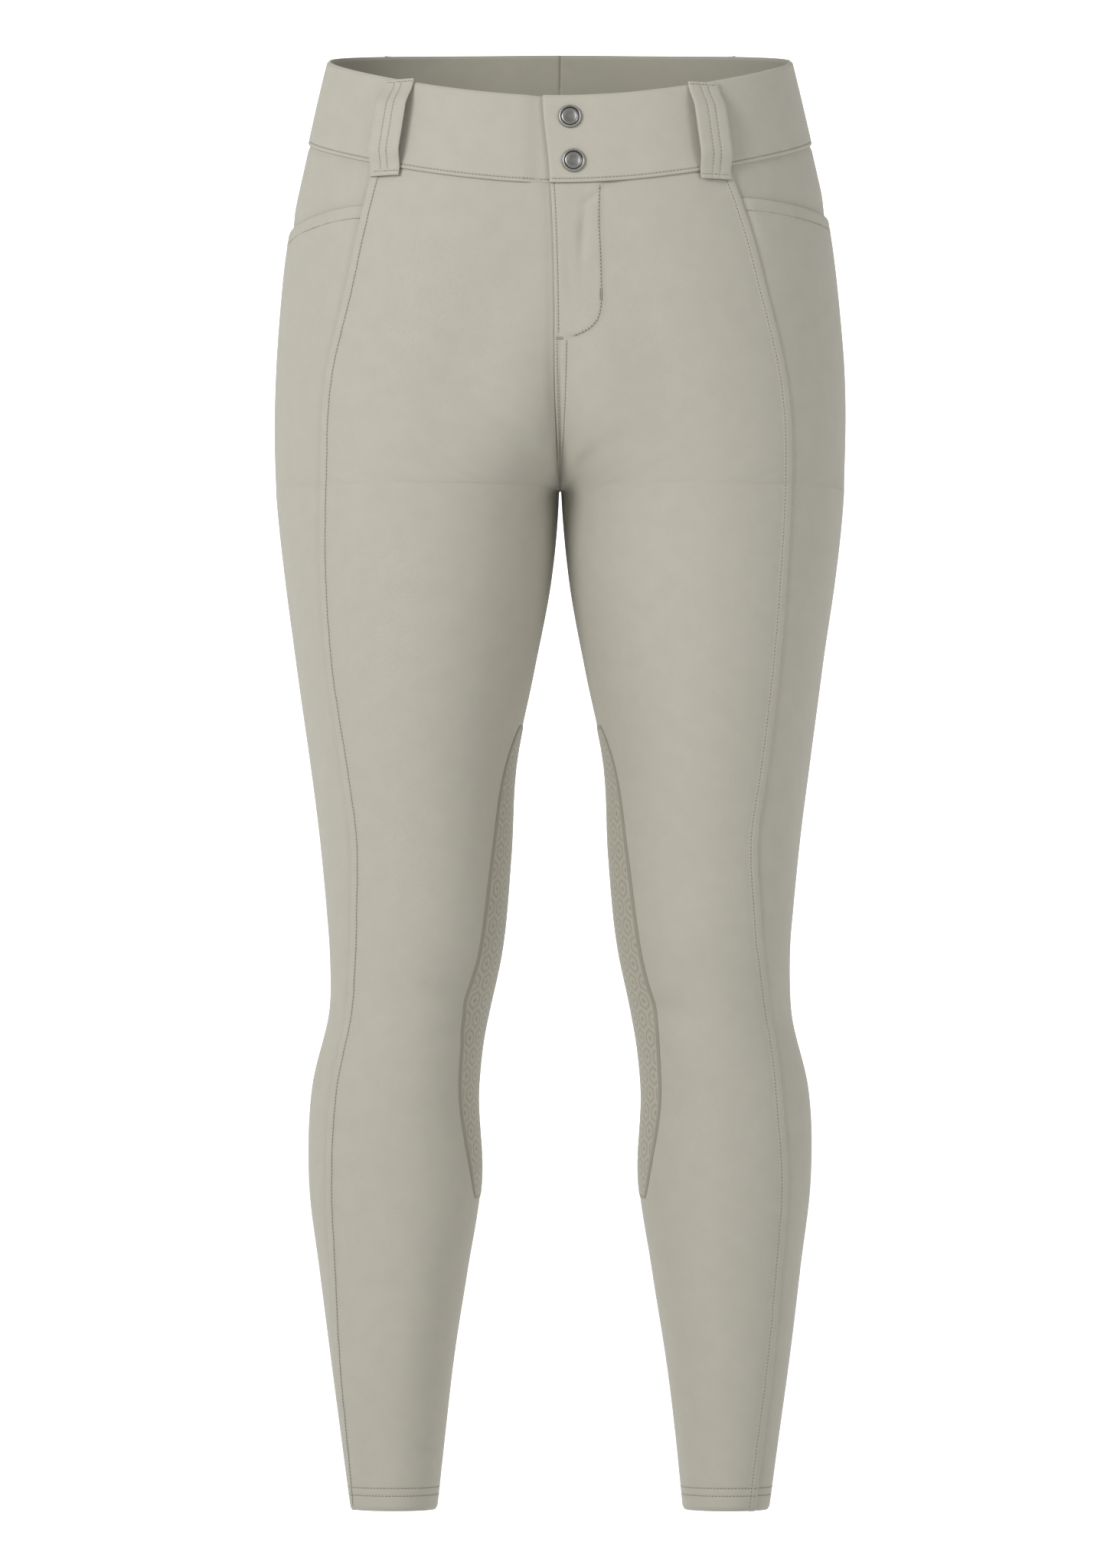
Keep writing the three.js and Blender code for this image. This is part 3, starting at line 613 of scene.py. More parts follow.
def two_tone(name, light, dark, mark, rough, grain, metallic=0.0):
    """A material that passes from a light to a dark tone by one of the mesh's marks, with a fine
    grain that shifts the tone and, as bump, roughens the surface."""
    material = bpy.data.materials.new(name)
    material.use_nodes = True
    shader = material.node_tree.nodes["Principled BSDF"]
    add, link = node_maker(material)
    place = add("TexCoord").outputs["Object"]
    noise = add("TexNoise", {"Scale": grain, "Detail": 4})
    link(place, noise.inputs["Vector"])
    speckle = add("MapRange", {"To Min": -0.14, "To Max": 0.14})
    link(noise.outputs["Fac"], speckle.inputs["Value"])
    total = add("Math", operation="ADD", use_clamp=True)
    link(speckle.outputs["Result"], total.inputs[0])
    link(add("Attribute", attribute_name=mark).outputs["Fac"], total.inputs[1])
    tint = add("Mix", data_type="RGBA")
    tint.inputs["A"].default_value = (*light, 1)
    tint.inputs["B"].default_value = (*dark, 1)
    link(total.outputs["Value"], tint.inputs["Factor"])
    link(tint.outputs["Result"], shader.inputs["Base Color"])
    bump = add("Bump", {"Strength": 0.25, "Distance": 0.00008})
    link(noise.outputs["Fac"], bump.inputs["Height"])
    link(bump.outputs["Normal"], shader.inputs["Normal"])
    shader.inputs["Roughness"].default_value = rough
    shader.inputs["Metallic"].default_value = metallic
    shader.inputs["Specular IOR Level"].default_value = 0.3
    return material


SAGE = (0.470, 0.450, 0.384)
# The inside's tone is partly the cloth's darker olive back and partly painted shade.
SAGE_INSIDE_SHADED = (0.38, 0.365, 0.30)
twill = stretch_twill("sage_stretch_twill", SAGE, SAGE_INSIDE_SHADED)
# The thread's dark tone is painted shade, laid at the needle holes between the stitches.
thread = two_tone("tonal_thread", (0.47, 0.45, 0.385), (0.19, 0.178, 0.145), "hole", 0.7, 2500)
SIDES = (("left", 1), ("right", -1))

# One stitch along x, ring by ring from hole to hole: place, radius, how far it dips and how dark
# it is painted. Each dips into the cloth at its ends, which meet the next stitch in a needle hole
# painted dark as the shade that falls in it.
STITCH_RINGS = table(
    "x radius dip hole",
    (-0.50, 0.00, -0.7, 1.0),
    (-0.46, 0.90, -0.5, 1.0),
    (-0.30, 1.00, -0.3, 1.0),
    (-0.25, 1.00, 0.0, 0.0),
    (0.25, 1.00, 0.0, 0.0),
    (0.30, 1.00, -0.3, 1.0),
    (0.46, 0.90, -0.5, 1.0),
    (0.50, 0.00, -0.7, 1.0),
)
STITCH_SIDES = 4
STITCH_RADIUS = 0.32
STITCH_PITCH = 2.3


def stitch():
    """Points, triangles and painted hole-shade marks of one stitch of length 1 and radius 1."""
    x, r, dip, hole = (STITCH_RINGS[k][1:-1, None] for k in ("x", "radius", "dip", "hole"))
    angle = np.linspace(0, 2 * np.pi, STITCH_SIDES, endpoint=False)
    rings = np.stack(np.broadcast_arrays(x, r * np.cos(angle), r * np.sin(angle) + dip), -1)
    ends = [[STITCH_RINGS["x"][k], 0, STITCH_RINGS["dip"][k]] for k in (0, -1)]
    i = np.arange(rings[..., 0].size).reshape(rings.shape[:2])
    j = np.roll(i, -1, 1)
    a, b, c, d = i[:-1].ravel(), j[:-1].ravel(), j[1:].ravel(), i[1:].ravel()
    start, end = (np.full(STITCH_SIDES, i.size + k) for k in (0, 1))
    faces = [np.stack([a, c, b], -1), np.stack([a, d, c], -1)]
    faces += [np.stack([i[0], j[0], start], -1), np.stack([j[-1], i[-1], end], -1)]
    marks = np.concatenate([np.repeat(hole, STITCH_SIDES), [1, 1]])
    return np.concatenate([rings.reshape(-1, 3), ends]), np.concatenate(faces), marks


def sew(name, lines, pitch=STITCH_PITCH, radius=STITCH_RADIUS):
    """A row of stitches along each line of points with normals: the line is walked at an even
    pitch, and a copy of the stitch is laid along it at every step, all as one mesh."""
    centres, ways, outs = [], [], []
    for points, normals in lines:
        run = np.concatenate([[0], np.cumsum(np.linalg.norm(np.diff(points, axis=0), axis=1))])
        at = np.arange(pitch / 2, run[-1] - pitch / 2 + 1e-6, pitch)
        ahead, behind, middle, out = (
            np.stack([np.interp(spot, run, values[:, k]) for k in range(3)], -1)
            for spot, values in ((at + 0.4, points), (at - 0.4, points), (at, points), (at, normals))
        )
        centres.append(middle)
        ways.append(ahead - behind)
        outs.append(out)
    centre, way, out = (np.concatenate(x) for x in (centres, ways, outs))
    way /= np.linalg.norm(way, axis=1, keepdims=True)
    beside = np.cross(out, way)
    beside /= np.linalg.norm(beside, axis=1, keepdims=True)
    out = np.cross(way, beside)
    shape, faces, marks = stitch()
    shape = shape * [pitch, radius, radius]
    points = centre[:, None] + np.einsum("sk,nkc->nsc", shape, np.stack([way, beside, out], 1))
    faces = faces + len(shape) * np.arange(len(centre))[:, None, None]
    # The marks place the painted shade at each stitch's needle holes.
    hole_shades = {"hole": np.tile(marks, len(centre))}
    return make_mesh(
        name, points.reshape(-1, 3), faces.reshape(-1, 3), thread, tones=hole_shades
    )


def row(side, distance, z, lift, proud=0.14):
    """A line on the cloth at distances and heights, just proud of a piece's own lift."""
    distance, z = np.broadcast_arrays(np.asarray(distance, float), np.asarray(z, float))
    return cloth_point(side, distance, z, lift(side, distance, z) + proud)


def down(top, bottom, step=2.0):
    return np.linspace(top, bottom, int(abs(top - bottom) / step) + 2)


def seam_run(side, seam, top=30.0):
    """Heights down a long seam, from just under the waistband to the hem."""
    z = down(top, HEM + 1)
    return z[z < under_band(side, seam(side, z), z) - 1.5]


def hem_rows(side, start, end, lift):
    """The two stitched rows of the hem across one piece."""
    rows = []
    for height in (-905.0, -910.0):
        level = np.array(height)
        distance = np.linspace(start(side, level) + 0.6, end(side, level) - 0.6, 60)
        rows.append(row(side, distance, level, lift))
    return rows


# The fly's curved row, set out from the middle line: distance and height
FLY_ROW = np.array(
    [
        (24.9, -66.5), (24.4, -89.7), (25.4, -110), (25.8, -125), (25.9, -139), (25.2, -146),
        (23.9, -150.5), (21.8, -153.8), (18.9, -156.6), (15.6, -158.6), (10.9, -160.7), (6.3, -162.2),
    ]
)
FLY_END = -162.8
BARTACK = 1.5


def smooth_line(points, count=240):
    """A smooth line through set-out points: each coordinate is a cubic Hermite curve of the chord
    length, with slopes from the neighbours on both sides."""
    chord = np.concatenate([[0], np.cumsum(np.linalg.norm(np.diff(points, axis=0), axis=1))])
    rows = {"z": -chord, **{str(k): points[:, k] for k in range(points.shape[1])}}
    way = np.linspace(0, chord[-1], count)
    return np.stack([column(rows, str(k), -way) for k in range(points.shape[1])], -1)


FLY_LINE = smooth_line(FLY_ROW)


def fly_distance(distance, z):
    """Shortest distance from each grid point to the fly's curved row, worked out close to it."""
    far = np.full(z.shape, 1e3)
    near = (np.abs(distance - 15) < 30) & (z > FLY_END - 20) & (z < -50)
    place = np.stack([distance[near], z[near]], -1)
    far[near] = np.linalg.norm(place[:, None] - FLY_LINE[::2], axis=-1).min(-1)
    return far


def front_lift(side, distance, z):
    """Lift of a front panel: the raised strip along its outer seam, the lap along the middle line
    and, on the left, the double cloth of the fly inside its curved row."""
    outer = front_seam(side, z) - distance
    inner = distance - centre_front(side, z)
    lift = felled(outer) + pucker(outer - 5.7, z, side) + hem_roll(z)
    lift = lift + below_band(side, distance, z)
    above = smooth_step(CROTCH + 2, CROTCH + 26, z)
    if side < 0:
        return lift + 1.1 * above * tucked(inner)
    fly = smooth_step(FLY_END - 1, FLY_END + 3, z)
    edge_of_fly = np.interp(-z, -FLY_LINE[:, 1], FLY_LINE[:, 0])
    inside = 1 - smooth_step(-1.0, 3.0, distance - edge_of_fly)
    curve = fly_distance(distance, z)
    lift = lift + 1.1 * fly * inside - 0.3 * ridge(curve, 0.9) + pucker(curve, z + distance, 4)
    edge = -0.45 * (1 - smooth_step(0, 1.0, inner)) - 0.3 * ridge(inner - 2.4, 0.6) * fly
    strip = felled(inner, 0.8, 7.5) - 0.3 * ridge(inner - 1.5, 0.5)
    return lift + above * (fly * edge + (1 - fly) * strip)


def front_start(side, z):
    """The right front runs on 3 millimetres under the left one, down to the crotch."""
    under = 3.0 * smooth_step(CROTCH, CROTCH + 20, z) if side < 0 else 0.0
    return centre_front(side, z) - under


def bartack(start, end, width):
    """A bar of close stitches across a short line on the left front, laid one by one."""
    middle = np.linspace(start, end, 14)
    along = np.array(end) - start
    across = width / 2 * np.array([-along[1], along[0]]) / np.hypot(*along)
    ends = np.stack([middle - across, middle + across], 1)
    return [row(1, pair_of[:, 0], pair_of[:, 1], front_lift, 0.3) for pair_of in ends]


for word, side in SIDES:
    first = FLY_STEPS if side > 0 else SEAM_STEPS
    across = columns(first, 24 if side > 0 else 36, SEAM_STEPS)
    grid = lay(side, front_start, front_seam, under_band, all_levels, sinking(26), across)
    piece = cloth_piece(
        f"front_cloth_{word}", f"front_panel_{word}", side, grid,
        front_lift(side, *grid), hem_thickness(grid[1]), twill,
    )
    z = seam_run(side, front_seam, -50)
    rows = [
        sew(f"front_seam_stitches_{word}", [row(side, front_seam(side, z) - 5.7, z, front_lift)]),
        sew(f"front_hem_stitches_{word}", hem_rows(side, centre_front, front_seam, front_lift)),
    ]
    if side > 0:
        fly, rise = down(-63, -161), down(-164.5, -250)
        lines = [row(1, centre_front(1, fly) + 2.4, fly, front_lift)]
        lines.append(row(1, *FLY_LINE.T, front_lift, 0.26))
        lines += [row(1, centre_front(1, rise) + gap, rise, front_lift) for gap in (1.5, 7.5)]
        rows.append(sew("fly_stitches", lines))
        foot = float(centre_front(1, np.array(FLY_END)))
        bars = bartack((25.9, -132), (25.9, -139), BARTACK)
        bars += bartack((foot + 1, FLY_END), (foot + 5, FLY_END), BARTACK)
        rows.append(sew("fly_bartacks", bars, BARTACK, 0.24))


# Side panels: the long cut pieces over the outer thigh and calf, from the pocket mouth down to
# the hem. Both their long edges run in under the raised strips of the front and the back, and
# their top edge is the turned and stitched pocket mouth.
MOUTH = {1: (-72.0, -77.0), -1: (-76.5, -86.0)}
MOUTH_LIFT = 0.9
MOUTH_FADE = 70.0
MOUTH_ROW = 8.0


def pocket_mouth(side, distance, z):
    """Height of the pocket mouth, a little lower at the side than at the front seam."""
    front, outer = MOUTH[side]
    start = front_seam(side, np.array(front)) / length_at(np.array(front))
    return mix(front, outer, smooth_step(start, start + 0.25, distance / length_at(z)))


def side_start(side, z):
    return front_seam(side, z) - 1.6


def side_end(side, z):
    return side_back_seam(side, z) + 1.6


def side_lift(side, distance, z):
    """Lift of a side panel: both edges sink, the mouth stands off the yoke and settles below."""
    ahead, behind = distance - side_start(side, z), side_end(side, z) - distance
    below = pocket_mouth(side, distance, z) - z
    free = smooth_step(1.6, 12, ahead) * smooth_step(1.6, 12, behind)
    mouth = MOUTH_LIFT * (1 - smooth_step(0, MOUTH_FADE, below)) - 0.35 * ridge(below - MOUTH_ROW, 0.6)
    roll = -0.4 * (1 - smooth_step(0, 1.2, below))
    waves = pucker(below - MOUTH_ROW, distance, 2 + side)
    return tucked(ahead) + tucked(behind) + free * (mouth + waves) + roll + hem_roll(z)


for word, side in SIDES:
    first = [0, 0.01, 0.025, 0.05, 0.09, 0.14, 0.19, 0.22, 0.25, 0.29]
    shares = np.concatenate([first, np.linspace(0.35, 1, 12)[:-1], np.ones(len(LEVELS))])
    across = columns(SEAM_STEPS, 22, SEAM_STEPS)
    grid = lay(side, side_start, side_end, pocket_mouth, all_levels, shares, across)
    piece = cloth_piece(
        f"side_cloth_{word}", f"side_panel_{word}", side, grid,
        side_lift(side, *grid), hem_thickness(grid[1]), twill,
    )
    level = np.array(MOUTH[side][0])
    distance = np.linspace(front_seam(side, level) + 1, side_back_seam(side, level) - 1, 160)
    z = np.full(160, float(level))
    for _ in range(6):
        z = pocket_mouth(side, distance, z) - MOUTH_ROW
    rows = [
        sew(f"mouth_stitches_{word}", [row(side, distance, z, side_lift)]),
        sew(f"side_hem_stitches_{word}", hem_rows(side, front_seam, side_back_seam, side_lift)),
    ]


# Back panels: seat and back of the leg in one piece each side. They lap over the side panels
# with a raised, stitched strip; the left one laps over the right at the seat, and both run in
# under the fronts along the inseam.
def back_end(side, z):
    under = 1.6 * (1 - smooth_step(CROTCH - 6, CROTCH + 6, z)) if side > 0 else 1.6
    return centre_back(side, z) + under


def back_lift(side, distance, z):
    """Lift of a back panel: a raised strip along the side seam; at the seat a strip on the left
    half and a tucked edge on the right; tucked along the inseam."""
    ahead, end = distance - side_back_seam(side, z), back_end(side, z)
    above = smooth_step(CROTCH + 2, CROTCH + 26, z)
    seat = felled(end - distance, 0.7, 7.0) if side > 0 else tucked(end - distance)
    inner = above * seat + (1 - above) * tucked(end - distance)
    strip = felled(ahead) + pucker(ahead - 5.7, z, side + 2)
    return strip + inner + hem_roll(z) + below_band(side, distance, z)


for word, side in SIDES:
    across = columns(SEAM_STEPS, 40, SEAM_STEPS)
    grid = lay(side, side_back_seam, back_end, under_band, all_levels, sinking(30), across)
    piece = cloth_piece(
        f"back_cloth_{word}", f"back_panel_{word}", side, grid,
        back_lift(side, *grid), hem_thickness(grid[1]), twill,
    )
    z = seam_run(side, side_back_seam)
    rows = [
        sew(f"back_seam_stitches_{word}", [row(side, side_back_seam(side, z) + 5.7, z, back_lift)]),
        sew(f"back_hem_stitches_{word}", hem_rows(side, side_back_seam, centre_back, back_lift)),
    ]
    if side > 0:
        z = down(18, -249)
        lines = [row(1, length_at(z) - gap, z, back_lift) for gap in (1.5, 7.0)]
        rows.append(sew("seat_stitches", lines))


# Hip yokes: the pieces between waistband and pocket mouth, of the same twill. They run on behind
# the mouth, where they sink in, and form the back of the pocket.
YOKE_TUCK = 14.0


def yoke_bottom(side, distance, z):
    return pocket_mouth(side, distance, z) - YOKE_TUCK


def yoke_lift(side, distance, z):
    """Lift of a yoke: its edges sink under the strips, and it sinks behind the pocket mouth."""
    ahead, behind = distance - side_start(side, z), side_end(side, z) - distance
    above = z - pocket_mouth(side, distance, z)
    edges = 1.2 * (tucked(ahead) + tucked(behind)) + below_band(side, distance, z)
    return edges - 1.3 * (1 - smooth_step(0, 18, above))


for word, side in SIDES:
    across = columns(SEAM_STEPS, 40, SEAM_STEPS)
    shares = np.concatenate([[0, 0.012, 0.025, 0.04, 0.055], np.linspace(0.075, 1, 22)])
    grid = lay(side, side_start, side_end, under_band, yoke_bottom, shares, across)
    piece = cloth_piece(
        f"yoke_cloth_{word}", f"hip_yoke_{word}", side, grid,
        yoke_lift(side, *grid), CLOTH, twill,
    )


# Waistband: a faced band of the twill, stiffened, rolled over at the top and sewn to the panels
# with one row close above its lower edge. Its left end laps over the right one at the snaps.
BAND_CLOTH = 3.0
BAND_DEPTH = 55.8
LAP_REACH = (10.9, 6.4)
UNDERLAP = 26.0
BAND_STITCHES = 2.3


def lap_reach(share, z):
    return mix(*LAP_REACH, smooth_step(band_top(share), band_seam(share), z))


def band_start(side, z):
    return -lap_reach(0.0, z) if side > 0 else np.full_like(z, -UNDERLAP)


def band_end(side, z):
    """The right half ends a hair past the middle plane, just where the left one does."""
    return length_at(z) + (0.0 if side > 0 else 0.001)


def band_lift(side, distance, z):
    """Lift of the waistband: a millimetre proud, more on the left lap, less on the right end that
    passes behind it."""
    if side > 0:
        reach = lap_reach(distance / length_at(z), z)
        return 1.0 + 1.5 * (1 - smooth_step(34 - reach, 46, distance))
    return 1.0 - 2.2 * (1 - smooth_step(12.9, 22.9, distance))


def band_roll(side, distance, z):
    """How far the band's face draws in at its rolled edges, its lap edge and its stitched row."""
    share = distance / length_at(z)
    up, under = z - band_seam(share), band_top(share) - z
    edges = 0.45 * (1 - smooth_step(0, 0.8, up)) + 1.1 * (1 - smooth_step(0, 2.0, under))
    lap = 0.8 * (1 - smooth_step(0, 1.4, distance - band_start(side, z))) * (side > 0)
    return edges + lap + 0.5 * ridge(up - BAND_STITCHES, 0.55)


def band_face(side, distance, z):
    return band_lift(side, distance, z) - band_roll(side, distance, z)


def band_upper(side, distance, z):
    return band_top(distance / length_at(z))


def band_lower(side, distance, z):
    return band_seam(distance / length_at(z))


band_twill = stretch_twill("sage_band_twill", (0.478, 0.458, 0.391), SAGE_INSIDE_SHADED)
top_steps = np.array([0, 0.4, 0.9, 1.5, 2.1, 2.8, 4.0])
bottom_steps = np.array([0, 0.3, 0.6, 0.9, 1.3, 1.7, 2.0, 2.3, 2.6, 2.9, 3.4, 4.2])
fixed, even = columns(top_steps, 16, bottom_steps)

for word, side in SIDES:
    across = columns(SEAM_STEPS, 112, np.array([0, 2.0, 4.5]))
    shares = fixed / BAND_DEPTH + even
    grid = lay(side, band_start, band_end, band_upper, band_lower, shares, across)
    piece = cloth_piece(
        f"band_cloth_{word}", f"waistband_{word}", side, grid, band_face(side, *grid),
        BAND_CLOTH - 1.6 * band_roll(side, *grid), band_twill,
    )
    start = -LAP_REACH[1] + 1.5 if side > 0 else -4.0
    distance = np.linspace(start, length_at(np.array(0.0)), 400)
    z = np.full(400, -50.0)
    for _ in range(6):
        z = band_lower(side, distance, z) + BAND_STITCHES
    line = [row(side, distance, z, band_face)]
    rows = [sew(f"band_stitches_{word}", line)]


# Belt loops: flat folded strips of the twill, with two rows of stitches down the middle, sewn on
# at the band's top edge and just under its seam, and bowed between so that a belt passes.
LOOP_WIDTH = 21.0
LOOP_CLOTH = 2.0
LOOP_BOW = 5.6
LOOP_ROWS = 2.5
LOOPS = (
    ("front_left", 1, 0.234, 0.233, 6.5),
    ("front_right", -1, 0.234, 0.233, 6.5),
    ("back_left", 1, 0.72, 0.725, 0),
    ("back_right", -1, 0.72, 0.725, 0),
    ("back_centre", 1, 1.0, 1.0, 0),
)


def loop_lift(side, share_top, share_bottom, across, way):
    """Distance, height and lift on a belt loop: straight down the band, seated on it at both ends
    and bowed out between, with its stitched rows and ends sunk in."""
    across, way = np.broadcast_arrays(np.asarray(across, float), np.asarray(way, float))
    z = mix(band_top(share_top) - 0.5, band_seam(share_bottom) - 7.0, way)
    middle = mix(share_top, share_bottom, way) * length_at(z)
    bow = LOOP_BOW * smooth_step(0.04, 0.3, way) * (1 - smooth_step(0.72, 0.95, way))
    seat = band_lift(side, middle, z) + 0.55 + LOOP_CLOTH
    rows = 0.35 * (ridge(across - LOOP_ROWS, 0.5) + ridge(across + LOOP_ROWS, 0.5))
    bars = 0.3 * (ridge(way - 0.03, 0.012) + ridge(way - 0.955, 0.012))
    return middle + across, z, seat + bow, rows + bars


half = np.array([1.0, 1.7, 2.1, 2.5, 2.9, 3.5, 5.5, 7.5, 9.0, 9.8, 10.3, 10.5])
loop_across = np.concatenate([-half[::-1], [0], half])
loop_way = np.concatenate(
    [
        [0, 0.006, 0.015, 0.03, 0.045, 0.06],
        np.linspace(0.08, 0.93, 40),
        [0.945, 0.955, 0.965, 0.985, 0.994, 1],
    ]
)

for word, side, share_top, share_bottom, turn in LOOPS:
    shift = side * turn / length_at(np.array(0.0))
    ends = share_top - shift, share_bottom - shift
    distance, z, lift, sunk = loop_lift(side, *ends, loop_across[None, :], loop_way[:, None])
    edge = 0.7 * (1 - smooth_step(0, 1.2, LOOP_WIDTH / 2 - np.abs(loop_across)))[None, :]
    tip = 0.7 * (1 - smooth_step(0, 0.02, np.minimum(loop_way, 1 - loop_way)))[:, None]
    draw = np.maximum(edge, tip) + sunk
    outer, _ = cloth_point(side, distance, z, lift - draw)
    inner, _ = cloth_point(side, distance, z, lift - LOOP_CLOTH + 0.6 * draw)
    points, faces = shell(outer, inner)
    flat = np.stack([side * distance, z], -1).reshape(-1, 2)
    piece = make_mesh(
        f"loop_cloth_{word}", points, faces, band_twill,
        np.concatenate([flat, flat]), side < 0, {"inside": np.zeros(len(points))},
    )
    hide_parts(f"belt_loop_{word}")
    lines = []
    for across, way in (
        (-LOOP_ROWS, np.linspace(0.03, 0.955, 60)),
        (LOOP_ROWS, np.linspace(0.03, 0.955, 60)),
        (np.linspace(-9.8, 9.8, 30), 0.03),
        (np.linspace(-9.8, 9.8, 30), 0.955),
    ):
        distance, z, lift, sunk = loop_lift(side, *ends, across, way)
        lines.append(cloth_point(side, distance, z, lift - sunk + 0.14))
    rows = [sew(f"loop_stitches_{word}", lines, radius=0.26)]


# Snaps: two pressed caps of pewter-coloured metal on the lap, each with a rolled rim round a
# plain dished face, riveted through the band.
pewter = two_tone("worn_pewter", (0.44, 0.43, 0.41), (0.05, 0.048, 0.045), "tarnish", 0.34, 900, 0.9)
SNAPS = (("snap_cap_upper", "snap_upper", 6.2, -23.2), ("snap_cap_lower", "snap_lower", 8.4, -51.2))
SNAP_TURNS = 56
# Cap profile: radius, height above the band, and how tarnished the metal is there
CAP = np.array(
    [
        (7.3, -0.4, 0.9), (7.5, 0.2, 0.75), (7.45, 0.8, 0.4), (7.2, 1.4, 0.1), (6.8, 1.85, 0.0),
        (6.4, 2.0, 0.1), (6.05, 1.8, 0.5), (5.8, 1.35, 0.95), (5.6, 1.1, 1.0), (5.35, 1.12, 0.9),
        (5.1, 1.35, 0.4), (4.7, 1.5, 0.25), (4.2, 1.46, 0.35), (3.6, 1.3, 0.45), (2.8, 1.14, 0.5),
        (1.8, 1.03, 0.45), (0.8, 0.98, 0.4), (0.0, 0.97, 0.4),
    ]
)


def turned(profile, centre, axis):
    """A turned solid: a profile of radius and height spun round an axis, closed at its foot, as
    points and triangles."""
    across = np.cross(axis, [1.0, 0.0, 0.0])
    across /= np.linalg.norm(across)
    angle = np.linspace(0, 2 * np.pi, SNAP_TURNS, endpoint=False)[:, None]
    ring = np.cos(angle) * across + np.sin(angle) * np.cross(axis, across)
    radius, height = profile[:-1, 0, None, None], profile[:-1, 1, None, None]
    body = centre + radius * ring + height * axis
    ends = [centre + profile[-1, 1] * axis, centre + profile[0, 1] * axis]
    i = np.arange(len(radius) * SNAP_TURNS).reshape(len(radius), SNAP_TURNS)
    j = np.roll(i, -1, 1)
    a, b, c, d = i[:-1].ravel(), j[:-1].ravel(), j[1:].ravel(), i[1:].ravel()
    tip, foot = np.full(SNAP_TURNS, i.size), np.full(SNAP_TURNS, i.size + 1)
    faces = [
        np.stack([a, b, c], -1), np.stack([a, c, d], -1),
        np.stack([i[-1], j[-1], tip], -1), np.stack([j[0], i[0], foot], -1),
    ]
    return np.concatenate([body.reshape(-1, 3), ends]), np.concatenate(faces)


for name, node, along, height in SNAPS:
    place, spot = np.array([along]), np.array([height])
    seat, out = cloth_point(1, place, spot, band_lift(1, place, spot) + 0.3)
    points, faces = turned(CAP, seat[0], out[0])
    tarnish = np.concatenate([np.repeat(CAP[:-1, 2], SNAP_TURNS), [CAP[-1, 2], 1]])
    piece = make_mesh(name, points, faces, pewter, tones={"tarnish": tarnish})
    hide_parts(node)


# Fly zip: a woven tape sewn in behind the lap, with two meshed rows of moulded teeth on its inner
# face and a slider at their top, drawn shut.
ZIP_DROP = 2.2
ZIP_CLOTH = 1.0
ZIP_TOP, ZIP_BOTTOM = -66.0, -154.0
TOOTH_PITCH = 1.8
zip_weave = two_tone("zip_tape_weave", (0.38, 0.36, 0.29), (0.28, 0.265, 0.21), "inside", 0.75, 1400)
tooth_resin = two_tone("zip_teeth_resin", (0.33, 0.31, 0.25), (0.2, 0.19, 0.15), "edge", 0.45, 700)


def zip_middle(z):
    return 2 - column(SEAMS, "turn", z)


def blocks(name, centres, size, lean, material):
    """Small blocks in a row behind the fly: each is a box of six sloped faces, narrower at its
    inner face by lean, standing on the tape's inner face."""
    along, height, depth = centres
    corner = np.array([(x, z, y) for y in (0, 1) for z in (-1, 1) for x in (-1, 1)], float)
    shrink = 1 - lean * corner[:, 2]
    x = along[:, None] + corner[:, 0] * shrink * size[0] / 2
    z = height[:, None] + corner[:, 1] * shrink * size[1] / 2
    points, _ = cloth_point(1, x, z, -(depth[:, None] + corner[:, 2] * size[2]) + 0 * x)
    box = np.array(
        [(0, 1, 3, 2), (4, 6, 7, 5), (0, 4, 5, 1), (2, 3, 7, 6), (0, 2, 6, 4), (1, 5, 7, 3)]
    )
    faces = box[:, ::-1] + 8 * np.arange(len(along))[:, None, None]
    edge = {"edge": np.tile(corner[:, 2] * 0.5, len(along))}
    points, faces = points.reshape(-1, 3), faces.reshape(-1, 4)
    thing = make_mesh(name, points, faces, material, tones=edge)
    thing.data.polygons.foreach_set("use_smooth", np.zeros(len(thing.data.polygons), bool))
    return thing


height = np.linspace(ZIP_TOP, ZIP_BOTTOM, 45)[:, None]
side_steps = np.array([0, 0.4, 1.0, 2.0])
fixed, even = columns(side_steps, 22, side_steps)
grid = np.broadcast_arrays(zip_middle(height) - 13 + fixed + 26 * even, height)
lift = np.full(grid[0].shape, -ZIP_DROP)
piece = cloth_piece("zip_tape", "fly_zip", 1, grid, lift, ZIP_CLOTH, zip_weave)
z = np.arange(ZIP_TOP - 8, ZIP_BOTTOM + 3, -TOOTH_PITCH / 2)
swing = 0.8 * np.where(np.arange(len(z)) % 2, 1, -1)
back = ZIP_DROP + ZIP_CLOTH - 0.1
teeth = blocks(
    "zip_teeth", (zip_middle(z) + swing, z, np.full(len(z), back)), (2.6, 0.85, 0.9), 0.15, tooth_resin
)
top = np.array([ZIP_TOP - 5.0])
slider = blocks("zip_slider", (zip_middle(top), top, np.array([back])), (7, 9, 2.4), 0.25, tooth_resin)


# Knee grips: a long printed patch of soft rubber on the inside of each knee, nearly flush with
# the cloth, with a plain dark border and staggered six-sided rings round small dots.
GRIP = {"top": -407.0, "bottom": -715.0, "centre": 7.0, "wide": 43.0, "narrow": 36.0, "power": 2.6}
GRIP_BLUNT = 0.975
GRIP_LIFT = 0.6
CELL = 14.0
rubber = two_tone("printed_grip_rubber", (0.435, 0.417, 0.347), (0.31, 0.292, 0.235), "print", 0.62, 600)


def grip_half_width(v):
    """Half width at a height v from -1 to 1: a superellipse, wider at the top."""
    wide = mix(GRIP["wide"], GRIP["narrow"], (1 - v) / 2)
    return wide * (1 - np.abs(v * GRIP_BLUNT) ** GRIP["power"]) ** (1 / GRIP["power"])


